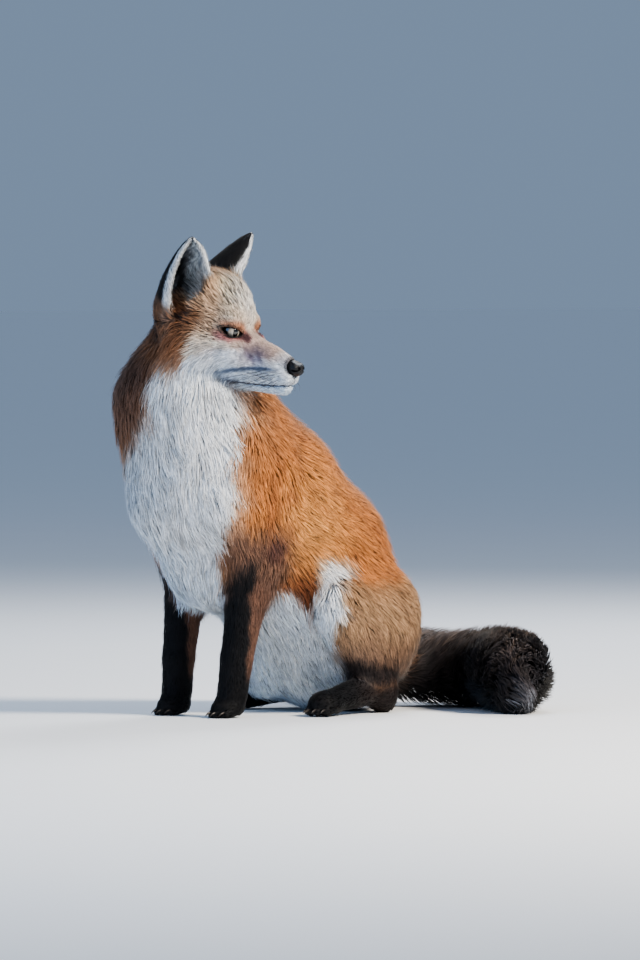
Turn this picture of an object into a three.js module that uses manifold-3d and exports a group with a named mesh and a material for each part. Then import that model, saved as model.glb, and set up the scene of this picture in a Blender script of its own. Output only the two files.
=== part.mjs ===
// A seated red fox, life size, as a still museum model. Millimetres, +Z up.
// The trunk faces -Y with its left side at +X; the head looks back over the left shoulder.
// The origin lies on the ground, under the middle of the animal's bounding box.
//
// The body is one smooth field of distance, built from named bones, muscles and fur masses.
// It is meshed once, thinned to a few thousand facets, stood on the ground by one flat cut,
// and then parted into head, neck, trunk, legs, ears and tail by cuts 0.5 mm wide.
import * as THREE from "three";
import Module from "manifold-3d";

const wasm = await Module();
wasm.setup();

// ---------------------------------------------------------------- driving dimensions (mm)
const CELL = 3.6; // grid pitch of the body mesh
const FACET = { body: 34, low: 24, head: 12.6, ear: 5.5, paw: 11.5 }; // edge lengths of the facets
const GAP = 0.5; // width of the cuts between neighbouring pieces
const SLIVER = 0.1; // edges shorter than this, left by a cut, are folded away
const SHIFT = [-53.8, 10, 0]; // moves the skeleton's own origin to the middle of the bounding box

const FRONT_FEET = { half: 40, y: -159.5, stagger: 10 }; // distance of each front foot from the midline
const HIND_FEET = { heelY: 32, stagger: 32, splay: 12 };

const HEAD = {
  eyes: [60, -160, 416.5], // middle of the line between the eyes
  heading: 110, // degrees turned from straight ahead towards the left
  pitch: 13, // degrees that the muzzle points down
  roll: 2, // degrees, crown towards the right side
};
const EYE = { at: [-0.6, 20, 1.5], r: 10.4, look: 48, lids: [12.5, 5.8, 7.5], tilt: 14 }; // the lids' opening: half length, height and depth
const NOSE = { at: [77, 0, -23.5], size: [9.5, 10.5, 9] };
const EAR = {
  base: [-53, 30, 10],
  tip: [-43, 62, 92],
  facing: { left: 50, right: 30 }, // degrees from forward towards the side
  rim: { left: 0, right: 2 }, // how far the rims stand before the ear's axis
  half: 24, // half the width near the base
  thick: [10, 7],
  floor: [3, 44, 0.9], // height of the hollow's floor, where it is so high, and its rise inwards
  wrap: [118, 70], // half angle of the section's arc at base and tip, degrees
  root: 14, // how far the shell runs on below its base, into the skull
};

// ---------------------------------------------------------------- small vector maths
const add = (a, b) => [a[0] + b[0], a[1] + b[1], a[2] + b[2]];
const sub = (a, b) => [a[0] - b[0], a[1] - b[1], a[2] - b[2]];
const mul = (a, s) => [a[0] * s, a[1] * s, a[2] * s];
const dot = (a, b) => a[0] * b[0] + a[1] * b[1] + a[2] * b[2];
const len = (a) => Math.sqrt(dot(a, a));
const unit = (a) => mul(a, 1 / (len(a) || 1));
const cross = (a, b) => [
  a[1] * b[2] - a[2] * b[1],
  a[2] * b[0] - a[0] * b[2],
  a[0] * b[1] - a[1] * b[0],
];
const rad = (d) => (d * Math.PI) / 180;
const mix = (a, b, t) => a + (b - a) * t;
const flip = (p) => [-p[0], p[1], p[2]]; // body: left to right
const flipY = (p) => [p[0], -p[1], p[2]]; // head: left to right

// The head's own axes: f forward along the muzzle, l to its left, t up through the crown.
const headAxes = (() => {
  const a = rad(HEAD.heading),
    p = rad(HEAD.pitch),
    r = rad(HEAD.roll);
  const h = [Math.sin(a), -Math.cos(a), 0];
  const f = [h[0] * Math.cos(p), h[1] * Math.cos(p), -Math.sin(p)];
  const side = [-h[1], h[0], 0]; // left of a level head
  const top = cross(f, side);
  const t = add(mul(top, Math.cos(r)), mul(side, -Math.sin(r)));
  return { f, t, l: cross(t, f) };
})();
const headPoint = (p) =>
  add(
    HEAD.eyes,
    add(
      mul(headAxes.f, p[0]),
      add(mul(headAxes.l, p[1]), mul(headAxes.t, p[2])),
    ),
  );
const headVector = (p) =>
  add(
    mul(headAxes.f, p[0]),
    add(mul(headAxes.l, p[1]), mul(headAxes.t, p[2])),
  );

// ---------------------------------------------------------------- the field
// A limb is a tapered capsule with an oval section: lat across ref, sag along the third axis.
function limb(group, a, b, ra, rb, k, ref = [1, 0, 0], caps = null) {
  let t = sub(b, a);
  const L = len(t);
  t = unit(t);
  const e1 = unit(sub(ref, mul(t, dot(ref, t))));
  const e2 = cross(t, e1);
  return {
    group, k, a, t, L, e1, e2, ra, rb,
    caps: caps || [Math.min(...ra), Math.min(...rb)],
    mid: add(a, mul(t, L / 2)),
    reach: L / 2 + Math.max(...ra, ...rb, ...(caps || [0])),
  };
}
// A mass is an ellipsoid whose axes are those given.
function mass(group, c, r, k, axes = [[1, 0, 0], [0, 1, 0], [0, 0, 1]]) {
  return {
    group, k, a: c, t: axes[1], L: 0, e1: axes[0], e2: axes[2],
    ra: [r[0], r[2]], rb: [r[0], r[2]], caps: [r[1], r[1]],
    mid: c, reach: Math.max(...r),
  };
}
function limbDistance(m, x, y, z) {
  const dx = x - m.a[0], dy = y - m.a[1], dz = z - m.a[2];
  let w = dx * m.t[0] + dy * m.t[1] + dz * m.t[2];
  const s = m.L > 0 ? Math.min(1, Math.max(0, w / m.L)) : 0;
  w -= s * m.L;
  const u = dx * m.e1[0] + dy * m.e1[1] + dz * m.e1[2];
  const v = dx * m.e2[0] + dy * m.e2[1] + dz * m.e2[2];
  const r1 = mix(m.ra[0], m.rb[0], s), r2 = mix(m.ra[1], m.rb[1], s), rt = mix(m.caps[0], m.caps[1], s);
  const k0 = Math.sqrt((u / r1) ** 2 + (v / r2) ** 2 + (w / rt) ** 2);
  const k1 = Math.sqrt((u / r1 ** 2) ** 2 + (v / r2 ** 2) ** 2 + (w / rt ** 2) ** 2);
  return k1 < 1e-9 ? -Math.min(r1, r2, rt) : (k0 * (k0 - 1)) / k1;
}
const smin = (a, b, k) => {
  const h = Math.max(k - Math.abs(a - b), 0) / k;
  return Math.min(a, b) - (h * h * k) / 4;
};

const smax = (a, b, k) => -smin(-a, -b, k);

// An ear is a leaf rolled into a scoop: at each height its section is an arc of a circle.
function earFrame(side) {
  const put = side > 0 ? (p) => p : flipY;
  const base = headPoint(put(EAR.base)), tip = headPoint(put(EAR.tip));
  const axis = unit(sub(tip, base));
  const turn = rad(side > 0 ? EAR.facing.left : EAR.facing.right);
  const o = headVector(put([Math.cos(turn), Math.sin(turn), 0]));
  const open = unit(sub(o, mul(axis, dot(o, axis))));
  return { base, axis, open, rim: side > 0 ? EAR.rim.left : EAR.rim.right, across: cross(axis, open), L: len(sub(tip, base)) };
}
function earDistance(e, x, y, z, grow = 0) {
  const dx = x - e.base[0], dy = y - e.base[1], dz = z - e.base[2];
  const h = dx * e.axis[0] + dy * e.axis[1] + dz * e.axis[2];
  const a = dx * e.across[0] + dy * e.across[1] + dz * e.across[2];
  const o = dx * e.open[0] + dy * e.open[1] + dz * e.open[2];
  const t = Math.min(1, Math.max(0, h / e.L));
  const over = h - Math.min(e.L, Math.max(-EAR.root, h));
  const half = EAR.half * Math.pow(Math.max(1 - t ** 2.6, 1e-4), 0.75) + 0.6;
  const wrap = rad(mix(EAR.wrap[0], EAR.wrap[1], t));
  const r = half / Math.sin(Math.min(wrap, Math.PI / 2));
  const oc = r * Math.cos(wrap) + e.rim;
  const q = Math.hypot(a, o - oc), phi = Math.atan2(Math.abs(a), oc - o);
  let d;
  if (phi < wrap) d = Math.abs(q - r);
  else d = Math.hypot(Math.abs(a) - r * Math.sin(wrap), o - oc + r * Math.cos(wrap));
  return Math.hypot(d, over) - mix(EAR.thick[0], EAR.thick[1], t) / 2 - grow;
}
// The hollow of the ear, which the skull must not fill. Its floor slants up from the side to the crown.
function hollowDistance(e, x, y, z) {
  const p = [x - e.base[0], y - e.base[1], z - e.base[2]];
  const h = dot(p, e.axis), a = dot(p, e.across), o = dot(p, e.open);
  const t = Math.min(1, Math.max(0, h / e.L));
  const half = EAR.half * Math.pow(Math.max(1 - t ** 2.6, 1e-4), 0.75) + 0.6;
  const wrap = rad(mix(EAR.wrap[0], EAR.wrap[1], t));
  const r = half / Math.sin(Math.min(wrap, Math.PI / 2));
  const q = Math.hypot(a, o - r * Math.cos(wrap) - e.rim) - r + mix(EAR.thick[0], EAR.thick[1], t) / 2;
  const v = sub([x, y, z], HEAD.eyes);
  const floor = (EAR.floor[0] + (EAR.floor[1] - Math.abs(dot(v, headAxes.l))) * EAR.floor[2] - dot(v, headAxes.t)) * 0.64;
  return smax(smax(q, o - e.rim - 11, 4), floor, 8);
}

// ---------------------------------------------------------------- the skeleton, muscles and coat
const RUMP = [0, 36, 78], LOIN = [0, -16, 156], RIBS = [0, -92, 226], WITHERS = [0, -142, 284], NECK_TOP = [4, -176, 384];
const parts = [];
const trunk = (...x) => parts.push(limb("trunk", ...x));
trunk(RUMP, LOIN, [80, 84], [74, 98], 30, [1, 0, 0], [76, 84]);
trunk(LOIN, RIBS, [74, 98], [80, 100], 30);
trunk(RIBS, WITHERS, [80, 100], [80, 84], 30);
parts.push(mass("trunk", [0, -182, 246], [72, 62, 76], 34)); // mane on the chest
parts.push(mass("trunk", [-36, -188, 336], [60, 54, 58], 30)); // the neck bulges on the side away from the look
parts.push(mass("trunk", [0, -160, 160], [44, 42, 44], 34)); // its lower end between the legs
trunk([0, -100, 150], [0, -30, 92], [62, 44], [66, 42], 30); // belly
parts.push(mass("trunk", [-14, 2, 62], [50, 44, 56], 26)); // fur of the groin
parts.push(mass("trunk", [-35, -45, 62], [36, 34, 50], 20));
parts.push(limb("neck", add(WITHERS, [0, -16, 16]), NECK_TOP, [80, 82], [60, 60], 34));
parts.push(mass("neck", [6, -206, 340], [58, 46, 52], 34)); // throat mane

function frontLeg(side) {
  const s = (p) => (side > 0 ? p : flip(p));
  const g = side > 0 ? "front_leg_left" : "front_leg_right";
  const y = FRONT_FEET.y + (side > 0 ? FRONT_FEET.stagger / 2 : -FRONT_FEET.stagger / 2);
  const x = FRONT_FEET.half;
  const shoulder = s([54, -128, 262]), point = s([50, -168, 228]), elbow = s([50, y + 24, 176]);
  const wrist = s([x + 3, y + 4, 62]), ankle = s([x + 1, y, 26]);
  parts.push(limb(g, shoulder, point, [36, 42], [34, 36], 26));
  parts.push(limb(g, point, elbow, [33, 36], [26, 34], 26));
  parts.push(limb(g, shoulder, elbow, [34, 40], [25, 32], 26));
  parts.push(limb(g, elbow, wrist, [21, 27], [16.5, 18.5], 14));
  parts.push(limb(g, wrist, ankle, [16.5, 18.5], [15.5, 17.5], 4));
  paw(g, s([x, y - 7, 7]), s([0, -1, 0]), 0.88);
}
// A paw: a low pad with four toes spread a little, heading along dir.
function paw(group, at, dir, size) {
  const d = unit([dir[0], dir[1], 0]), w = [-d[1], d[0], 0];
  const spot = (f, l, z) => add(at, add(mul(d, f * size), [w[0] * l * size, w[1] * l * size, z * size]));
  parts.push(mass(group, spot(-2, 0, 4), [17.5 * size, 23 * size, 14 * size], 8, [w, d, [0, 0, 1]]));
  for (const [l, f] of [[-12.5, 6], [-4.6, 13], [4.6, 13], [12.5, 6]])
    parts.push(limb(group, spot(f - 12, l * 0.85, 4), spot(f + 5, l, -4.5), [6.4 * size, 8.2 * size], [5.8 * size, 6.6 * size], 3.2, w, [6.5 * size, 6.5 * size]));
}
function hindLeg(side) {
  const s = (p) => (side > 0 ? p : flip(p));
  const gThigh = side > 0 ? "thigh_left" : "thigh_right", gFoot = side > 0 ? "hind_foot_left" : "hind_foot_right";
  const back = side > 0 ? 0 : HIND_FEET.stagger;
  const hip = s([48, 44 + back * 0.2, 98]), knee = s([76, -38 + back * 0.6, 120]);
  const heel = s([66, HIND_FEET.heelY + back, 30]);
  const a = rad(HIND_FEET.splay);
  const dir = s([Math.sin(a), -Math.cos(a), 0]);
  const toes = add(heel, add(mul(dir, 98), [0, 0, -16]));
  parts.push(limb(gThigh, hip, knee, [45, 62], [23, 36], 24, [1, 0, 0], [56, 28]));
  parts.push(limb(gThigh, knee, add(heel, [0, -8, 14]), [22, 32], [17, 25], 18));
  parts.push(limb(gFoot, heel, toes, [14.5, 20], [15, 12], 12, [1, 0, 0], [16, 12]));
  parts.push(mass(gFoot, add(heel, [0, 4, -10]), [15, 18, 24], 12));
  paw(gFoot, add(toes, [0, 0, -5]), dir, 0.95);
}
for (const side of [1, -1]) {
  frontLeg(side);
  hindLeg(side);
}

// The tail leaves the rump backwards, turns left on the ground and comes forward again.
const TAIL = {
  start: [0, 98, 54], heading: 120, turn: -160, easing: 2.6, length: 300, steps: 12, drop: 3,
  radius: (t) => mix(35, 46, Math.sin((Math.min(1, t * 1.35) * Math.PI) / 2)) * (t > 0.68 ? Math.sqrt(Math.max(1 - ((t - 0.68) / 0.33) ** 2, 0.03)) : 1),
};
const tailLine = [];
{
  let p = TAIL.start.slice(), a = TAIL.heading;
  for (let i = 0; i <= TAIL.steps; i++) {
    const t = i / TAIL.steps, r = TAIL.radius(t);
    tailLine.push({ p: [p[0], p[1], Math.max(mix(p[2], r - 2, Math.min(1, t * TAIL.drop)), 6)], r });
    a = TAIL.heading + TAIL.turn * (1 - Math.pow(1 - t, TAIL.easing));
    p = add(p, [Math.cos(rad(a)) * TAIL.length / TAIL.steps, Math.sin(rad(a)) * TAIL.length / TAIL.steps, 0]);
  }
  for (let i = 0; i < TAIL.steps; i++)
    parts.push(limb(i < TAIL.steps / 2 ? "tail_base" : "tail_tip", tailLine[i].p, tailLine[i + 1].p, [tailLine[i].r, tailLine[i].r], [tailLine[i + 1].r, tailLine[i + 1].r], 12, [0, 0, 1]));
}

// The head, in its own axes: [centre, half sizes] or [from, to, half sizes].
{
  const ax = [headAxes.l, headAxes.f, headAxes.t]; // across, along, up
  const m = (c, [rf, rl, rt], k) => parts.push(mass("head", headPoint(c), [rl, rf, rt], k, ax));
  const s = (a, b, ra, rb, k, caps) => parts.push(limb("head", headPoint(a), headPoint(b), ra, rb, k, headAxes.l, caps));
  m([-40, 0, 8], [46, 42, 51], 14); // cranium
  m([-21, 0, 12], [34, 28, 41], 12); // forehead
  m([-66, 0, -12], [34, 42, 42], 24); // nape
  m([-24, 0, -40], [36, 34, 28], 20); // throat
  s([6, 0, -21], [44, 0, -27], [24.5, 20], [16, 16], 14);
  s([44, 0, -27], [68, 0, -30], [16, 16], [12, 12], 8, [10, 9]);
  s([16, 0, -8], [71, 0, -21], [13, 8], [8, 5.5], 9); // bridge of the nose
  s([2, 0, -52], [67.5, 0, -48.5], [19, 12], [9, 7.4], 5, [12, 8.5]); // lower jaw
  for (const y of [1, -1]) {
    m([0, 18 * y, 11], [12, 10, 8], 9); // brow
    m([-8, 26 * y, -20], [29, 16, 22], 16); // cheek bone
    m([0, 20 * y, -33], [27, 12, 16], 14);
    m([-40, 37 * y, -26], [34, 26, 34], 20); // ruff
    m([-46, 33 * y, 26], [22, 20, 22], 16); // root of the ear
    s([-12, 17 * y, -46], [26, 12 * y, -42], [17, 15], [10, 11], 12); // jowl
    s([33, 10.5 * y, -37], [71, 5.5 * y, -36], [8.5, 9.5], [7.6, 8.5], 6); // upper lip
  }
}
const ears = [earFrame(1), earFrame(-1)];

// Each group's own distance, and the whole body's, in which the groups melt into each other.
const GROUPS = [...new Set(parts.map((m) => m.group))];
const groupParts = Object.fromEntries(GROUPS.map((g) => [g, parts.filter((m) => m.group === g)]));
const MELT = { head: 14, neck: 30, thigh_left: 11, thigh_right: 11, tail_base: 16, tail_tip: 12, hind_foot_left: 8, hind_foot_right: 8, front_leg_left: 18, front_leg_right: 18, trunk: 20 };
function groupDistance(g, x, y, z, far = 1e3) {
  let d = far;
  for (const m of groupParts[g]) {
    const away = Math.hypot(x - m.mid[0], y - m.mid[1], z - m.mid[2]) - m.reach;
    if (away > d + m.k || away > 60) continue;
    d = smin(d, limbDistance(m, x, y, z), m.k);
  }
  return d;
}
function bodyDistance(x, y, z) {
  let d = 1e3;
  for (const g of GROUPS) d = smin(d, groupDistance(g, x, y, z), MELT[g]);
  for (const e of ears) {
    if (Math.hypot(x - e.base[0], y - e.base[1], z - e.base[2]) > 125) continue;
    d = smax(smin(d, earDistance(e, x, y, z), 6), -hollowDistance(e, x, y, z), 3);
  }
  return d;
}

// ---------------------------------------------------------------- meshing a field
// Marching tetrahedra: every cell of the grid is split in six, so the surface always closes.
const TETS = [[0, 1, 3, 7], [0, 1, 5, 7], [0, 2, 3, 7], [0, 2, 6, 7], [0, 4, 5, 7], [0, 4, 6, 7]];
function meshField(field, low, high, cell) {
  const n = [0, 1, 2].map((i) => Math.ceil((high[i] - low[i]) / cell) + 1);
  const at = (i, j, k) => (k * n[1] + j) * n[0] + i;
  const val = new Float32Array(n[0] * n[1] * n[2]).fill(NaN);
  const COARSE = 4;
  const read = (i, j, k) => {
    const q = at(i, j, k);
    if (Number.isNaN(val[q])) {
      let v = field(low[0] + i * cell, low[1] + j * cell, low[2] + k * cell);
      if (Math.abs(v) < 1e-4) v = 1e-4;
      val[q] = v;
    }
    return val[q];
  };
  const verts = [], faces = [], made = new Map();
  const vertex = (p, q) => {
    const a = Math.min(p.id, q.id), key = a * 8 + (p.id === a ? q.bit ^ p.bit : p.bit ^ q.bit);
    let id = made.get(key);
    if (id === undefined) {
      const t = p.v / (p.v - q.v);
      id = verts.length;
      verts.push([mix(p.x, q.x, t), mix(p.y, q.y, t), mix(p.z, q.z, t)]);
      made.set(key, id);
    }
    return id;
  };
  const corner = [];
  for (let K = 0; K < n[2] - 1; K += COARSE)
    for (let J = 0; J < n[1] - 1; J += COARSE)
      for (let I = 0; I < n[0] - 1; I += COARSE) {
        const mid = field(low[0] + (I + COARSE / 2) * cell, low[1] + (J + COARSE / 2) * cell, low[2] + (K + COARSE / 2) * cell);
        if (Math.abs(mid) > COARSE * cell * 1.6 + 6) continue;
        for (let k = K; k < Math.min(K + COARSE, n[2] - 1); k++)
          for (let j = J; j < Math.min(J + COARSE, n[1] - 1); j++)
            for (let i = I; i < Math.min(I + COARSE, n[0] - 1); i++) {
              let inside = 0;
              for (let c = 0; c < 8; c++) {
                const a = i + (c & 1), b = j + ((c >> 1) & 1), d = k + ((c >> 2) & 1), v = read(a, b, d);
                corner[c] = { id: at(a, b, d), bit: c, v, x: low[0] + a * cell, y: low[1] + b * cell, z: low[2] + d * cell };
                inside += v < 0;
              }
              if (inside === 0 || inside === 8) continue;
              for (const tet of TETS) {
                const inn = tet.filter((c) => corner[c].v < 0).map((c) => corner[c]), out = tet.filter((c) => corner[c].v >= 0).map((c) => corner[c]);
                if (!inn.length || !out.length) continue;
                const way = [0, 0, 0];
                for (const o of out) way[0] += o.x / out.length, way[1] += o.y / out.length, way[2] += o.z / out.length;
                for (const o of inn) way[0] -= o.x / inn.length, way[1] -= o.y / inn.length, way[2] -= o.z / inn.length;
                const put = (a, b, c) => {
                  const nrm = cross(sub(verts[b], verts[a]), sub(verts[c], verts[a]));
                  faces.push(dot(nrm, way) >= 0 ? [a, b, c] : [a, c, b]);
                };
                if (inn.length === 1) put(vertex(inn[0], out[0]), vertex(inn[0], out[1]), vertex(inn[0], out[2]));
                else if (out.length === 1) put(vertex(inn[0], out[0]), vertex(inn[1], out[0]), vertex(inn[2], out[0]));
                else {
                  const q = [vertex(inn[0], out[0]), vertex(inn[0], out[1]), vertex(inn[1], out[1]), vertex(inn[1], out[0])];
                  const nrm = cross(sub(verts[q[2]], verts[q[0]]), sub(verts[q[3]], verts[q[1]]));
                  if (dot(nrm, way) < 0) q.reverse();
                  faces.push([q[0], q[1], q[2]], [q[0], q[2], q[3]]);
                }
              }
            }
      }
  return { verts, faces };
}

// Rebuilds a closed mesh with edges near the length asked for at each place, its vertices held
// on the surface of the field: long edges are split, short ones folded, crossed ones turned.
function remesh({ verts, faces }, field, size, rounds) {
  const V = verts.map((p) => p.slice()), F = faces.map((f) => f.slice()), alive = F.map(() => true);
  const around = V.map(() => new Set());
  F.forEach((f, i) => f.forEach((v) => around[v].add(i)));
  const normal = (a, b, c) => cross(sub(b, a), sub(c, a));
  const links = (v) => { const s = new Set(); for (const f of around[v]) for (const u of F[f]) if (u !== v) s.add(u); return s; };
  const wings = (a, b) => { const r = []; for (const f of around[a]) if (F[f].includes(b)) r.push(f); return r; };
  const edges = () => { const r = []; F.forEach((f, i) => { if (alive[i]) for (let j = 0; j < 3; j++) if (f[j] < f[(j + 1) % 3]) r.push([f[j], f[(j + 1) % 3]]); }); return r; };
  const put = (i, f) => { F[i] = f; for (const v of f) around[v].add(i); };
  const drop = (i) => { for (const v of F[i]) around[v].delete(i); };
  const mid = (a, b) => mul(add(V[a], V[b]), 0.5);
  const shape = (q, n) => len(n) / Math.max(len(sub(q[0], q[1])), len(sub(q[1], q[2])), len(sub(q[2], q[0]))) ** 2;
  // Would moving vertex v to p turn or crush one of its faces?
  const spoils = (v, p, skip = -1) => {
    let mean = null;
    for (const f of around[v]) {
      if (F[f].includes(skip)) continue;
      const q = F[f].map((u) => V[u]), w = F[f].map((u) => (u === v ? p : V[u]));
      const n0 = normal(...q), n1 = normal(...w), s0 = shape(q, n0), s1 = shape(w, n1);
      if (s1 < Math.min(0.25, 0.8 * s0)) return true;
      if (s0 > 0.15) { if (dot(n0, n1) < 0.4 * len(n0) * len(n1)) return true; continue; }
      if (!mean) { mean = [0, 0, 0]; for (const g of around[v]) mean = add(mean, normal(...F[g].map((u) => V[u]))); mean = unit(mean); }
      if (dot(mean, n1) < 0.2 * len(n1)) return true;
    }
    return false;
  };
  const fold = (limit, strict) => {
    const short = [];
    for (const [a, b] of edges()) {
      const p = mid(a, b), L = size(p), ratio = len(sub(V[a], V[b])) / L;
      if (ratio < limit) short.push([ratio, a, b, p, L]);
    }
    short.sort((x, y) => x[0] - y[0]);
    for (const [, a, b, , L] of short) {
      if (!around[a].size || !around[b].size) continue;
      const w = wings(a, b);
      if (w.length !== 2) continue;
      const p = mid(a, b);
      if (len(sub(V[a], V[b])) > limit * L) continue;
      const la = links(a), lb = links(b);
      let shared = 0;
      for (const u of la) if (lb.has(u)) shared++;
      if (shared !== 2 || la.size + lb.size < 8) continue;
      let far = false;
      if (strict) for (const u of new Set([...la, ...lb])) if (u !== a && u !== b && len(sub(V[u], p)) > 1.5 * L) far = true;
      if (far || spoils(a, p, b) || spoils(b, p, a)) continue;
      V[a] = p;
      for (const f of w) { drop(f); alive[f] = false; }
      for (const f of [...around[b]]) { drop(f); put(f, F[f].map((u) => (u === b ? a : u))); }
    }
  };
  for (let round = 0; round < rounds; round++) {
    if (round > 1)
      for (const [a, b] of edges()) {
        const p = mid(a, b);
        if (len(sub(V[a], V[b])) < 1.34 * size(p)) continue;
        const v = V.push(p) - 1;
        around.push(new Set());
        for (const f of wings(a, b)) {
          const old = F[f];
          drop(f);
          put(f, old.map((u) => (u === b ? v : u)));
          alive.push(true); F.push(null);
          put(F.length - 1, old.map((u) => (u === a ? v : u)));
        }
      }
    for (let i = 0; i < 4; i++) fold(0.8, round > 1);

    for (const [a, b] of edges()) {
      const w = wings(a, b);
      if (w.length !== 2) continue;
      const c = F[w[0]].find((u) => u !== a && u !== b), d = F[w[1]].find((u) => u !== a && u !== b);
      if (c === d || links(c).has(d)) continue;
      const n = [a, b, c, d].map((v) => links(v).size);
      const now = Math.abs(n[0] - 6) + Math.abs(n[1] - 6) + Math.abs(n[2] - 6) + Math.abs(n[3] - 6);
      const then = Math.abs(n[0] - 7) + Math.abs(n[1] - 7) + Math.abs(n[2] - 5) + Math.abs(n[3] - 5);
      const order = F[w[0]], ab = order[(order.indexOf(a) + 1) % 3] === b;
      const [f1, f2] = ab ? [[a, d, c], [d, b, c]] : [[a, c, d], [d, c, b]];
      const n0 = normal(...F[w[0]].map((u) => V[u])), n1 = normal(...F[w[1]].map((u) => V[u]));
      const m0 = normal(...f1.map((u) => V[u])), m1 = normal(...f2.map((u) => V[u]));
      const bend = dot(unit(n0), unit(n1)), after = dot(unit(m0), unit(m1));
      if (then >= now || after < Math.min(0.85, bend) || dot(m0, n0) < 0 || dot(m1, n1) < 0 || dot(m0, n1) < 0 || dot(m1, n0) < 0) continue;
      drop(w[0]); drop(w[1]);
      put(w[0], f1); put(w[1], f2);
    }
    for (let v = 0; v < V.length; v++) {
      if (!around[v].size) continue;
      let c = [0, 0, 0], k = 0, n = [0, 0, 0];
      for (const u of links(v)) { c = add(c, V[u]); k++; }
      for (const f of around[v]) n = add(n, normal(...F[f].map((u) => V[u])));
      n = unit(n);
      const step = sub(mul(c, 1 / k), V[v]);
      let p = add(V[v], mul(sub(step, mul(n, dot(step, n))), 0.6));
      for (let i = 0; i < 2; i++) {
        const h = 0.4, d = field(...p);
        const g = [field(p[0] + h, p[1], p[2]) - d, field(p[0], p[1] + h, p[2]) - d, field(p[0], p[1], p[2] + h) - d].map((x) => x / h);
        const gg = dot(g, g);
        if (gg < 0.04) break;
        const move = Math.max(-2.5, Math.min(2.5, -d / gg));
        p = add(p, mul(g, move));
      }
      if (!spoils(v, p)) V[v] = p;
    }
  }
  const used = new Map(), outV = [], outF = [];
  F.forEach((f, i) => { if (alive[i]) outF.push(f.map((v) => { if (!used.has(v)) { used.set(v, outV.length); outV.push(V[v]); } return used.get(v); })); });
  return { verts: outV, faces: outF };
}
const solid = ({ verts, faces }) => new wasm.Manifold(new wasm.Mesh({ numProp: 3, vertProperties: new Float32Array(verts.flat()), triVerts: new Uint32Array(faces.flat()) }));
// A three.js geometry as a manifold solid.
import { mergeVertices } from "three/addons/utils/BufferGeometryUtils.js";
function fromGeometry(geometry) {
  const g = geometry.clone();
  for (const name of ["normal", "uv"]) g.deleteAttribute(name);
  const m = mergeVertices(g, 1e-4);
  return new wasm.Manifold(new wasm.Mesh({ numProp: 3, vertProperties: new Float32Array(m.attributes.position.array), triVerts: new Uint32Array(m.index.array) }));
}
const biggest = (s) => s.decompose().sort((a, b) => b.volume() - a.volume())[0];

// ---------------------------------------------------------------- the body, whole
const near = (groups, p) => Math.min(...groups.map((g) => groupDistance(g, ...p)));
const PAWS = parts.filter((m) => m.reach < 24 && m.group !== "head");
function facetSize(p) {
  const ear = Math.min(...ears.map((e) => earDistance(e, ...p)));
  const paw = Math.min(...PAWS.map((m) => len(sub(p, m.mid)) - m.reach));
  let s = p[2] < 60 ? FACET.low : FACET.body;
  s = Math.min(s, FACET.head + Math.max(0, near(["head"], p)) * 0.25);
  s = Math.min(s, FACET.ear + Math.max(0, ear) * 0.3);
  s = Math.min(s, FACET.paw + Math.max(0, paw) * 0.3);
  return s;
}
const whole = remesh(meshField(bodyDistance, [-150, -290, -22], [270, 260, 540], CELL), bodyDistance, facetSize, 8);

let rest = solid(whole);
const under = fromGeometry(new THREE.BoxGeometry(900, 900, 200).translate(0, 0, -100));
rest = biggest(rest.subtract(under));

const nodes = {};
// Parts one piece off the rest: what lies inside the cutters becomes the piece.
// cutter(grow) gives a convex cutter with every face moved out by grow.
function part(name, ...cutters) {
  const joined = (grow) => cutters.map((cutter) => fromGeometry(cutter(grow))).reduce((a, b) => a.add(b));
  nodes[name] = biggest(rest.intersect(joined(-GAP / 2)));
  rest = biggest(rest.subtract(joined(GAP / 2)));
}
// A box of half sizes h, turned to the axes given and set down at c.
const boxCutter = (c, h, [x, y, z] = [[1, 0, 0], [0, 1, 0], [0, 0, 1]]) => (grow) =>
  new THREE.BoxGeometry(2 * (h[0] + grow), 2 * (h[1] + grow), 2 * (h[2] + grow)).applyMatrix4(
    new THREE.Matrix4().makeBasis(new THREE.Vector3(...x), new THREE.Vector3(...y), new THREE.Vector3(...z)).setPosition(...c),
  );
// An oval drum whose ends face sideways.
const drumCutter = (c, [ry, rz], half, turn) => (grow) =>
  new THREE.CylinderGeometry(1, 1, 2 * (half + grow), 18).rotateZ(Math.PI / 2).scale(1, ry + grow, rz + grow).rotateX(rad(turn)).translate(...c);
const axesAlong = (z, ref) => {
  const x = unit(sub(ref, mul(z, dot(z, ref))));
  return [x, cross(z, x), z];
};

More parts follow.
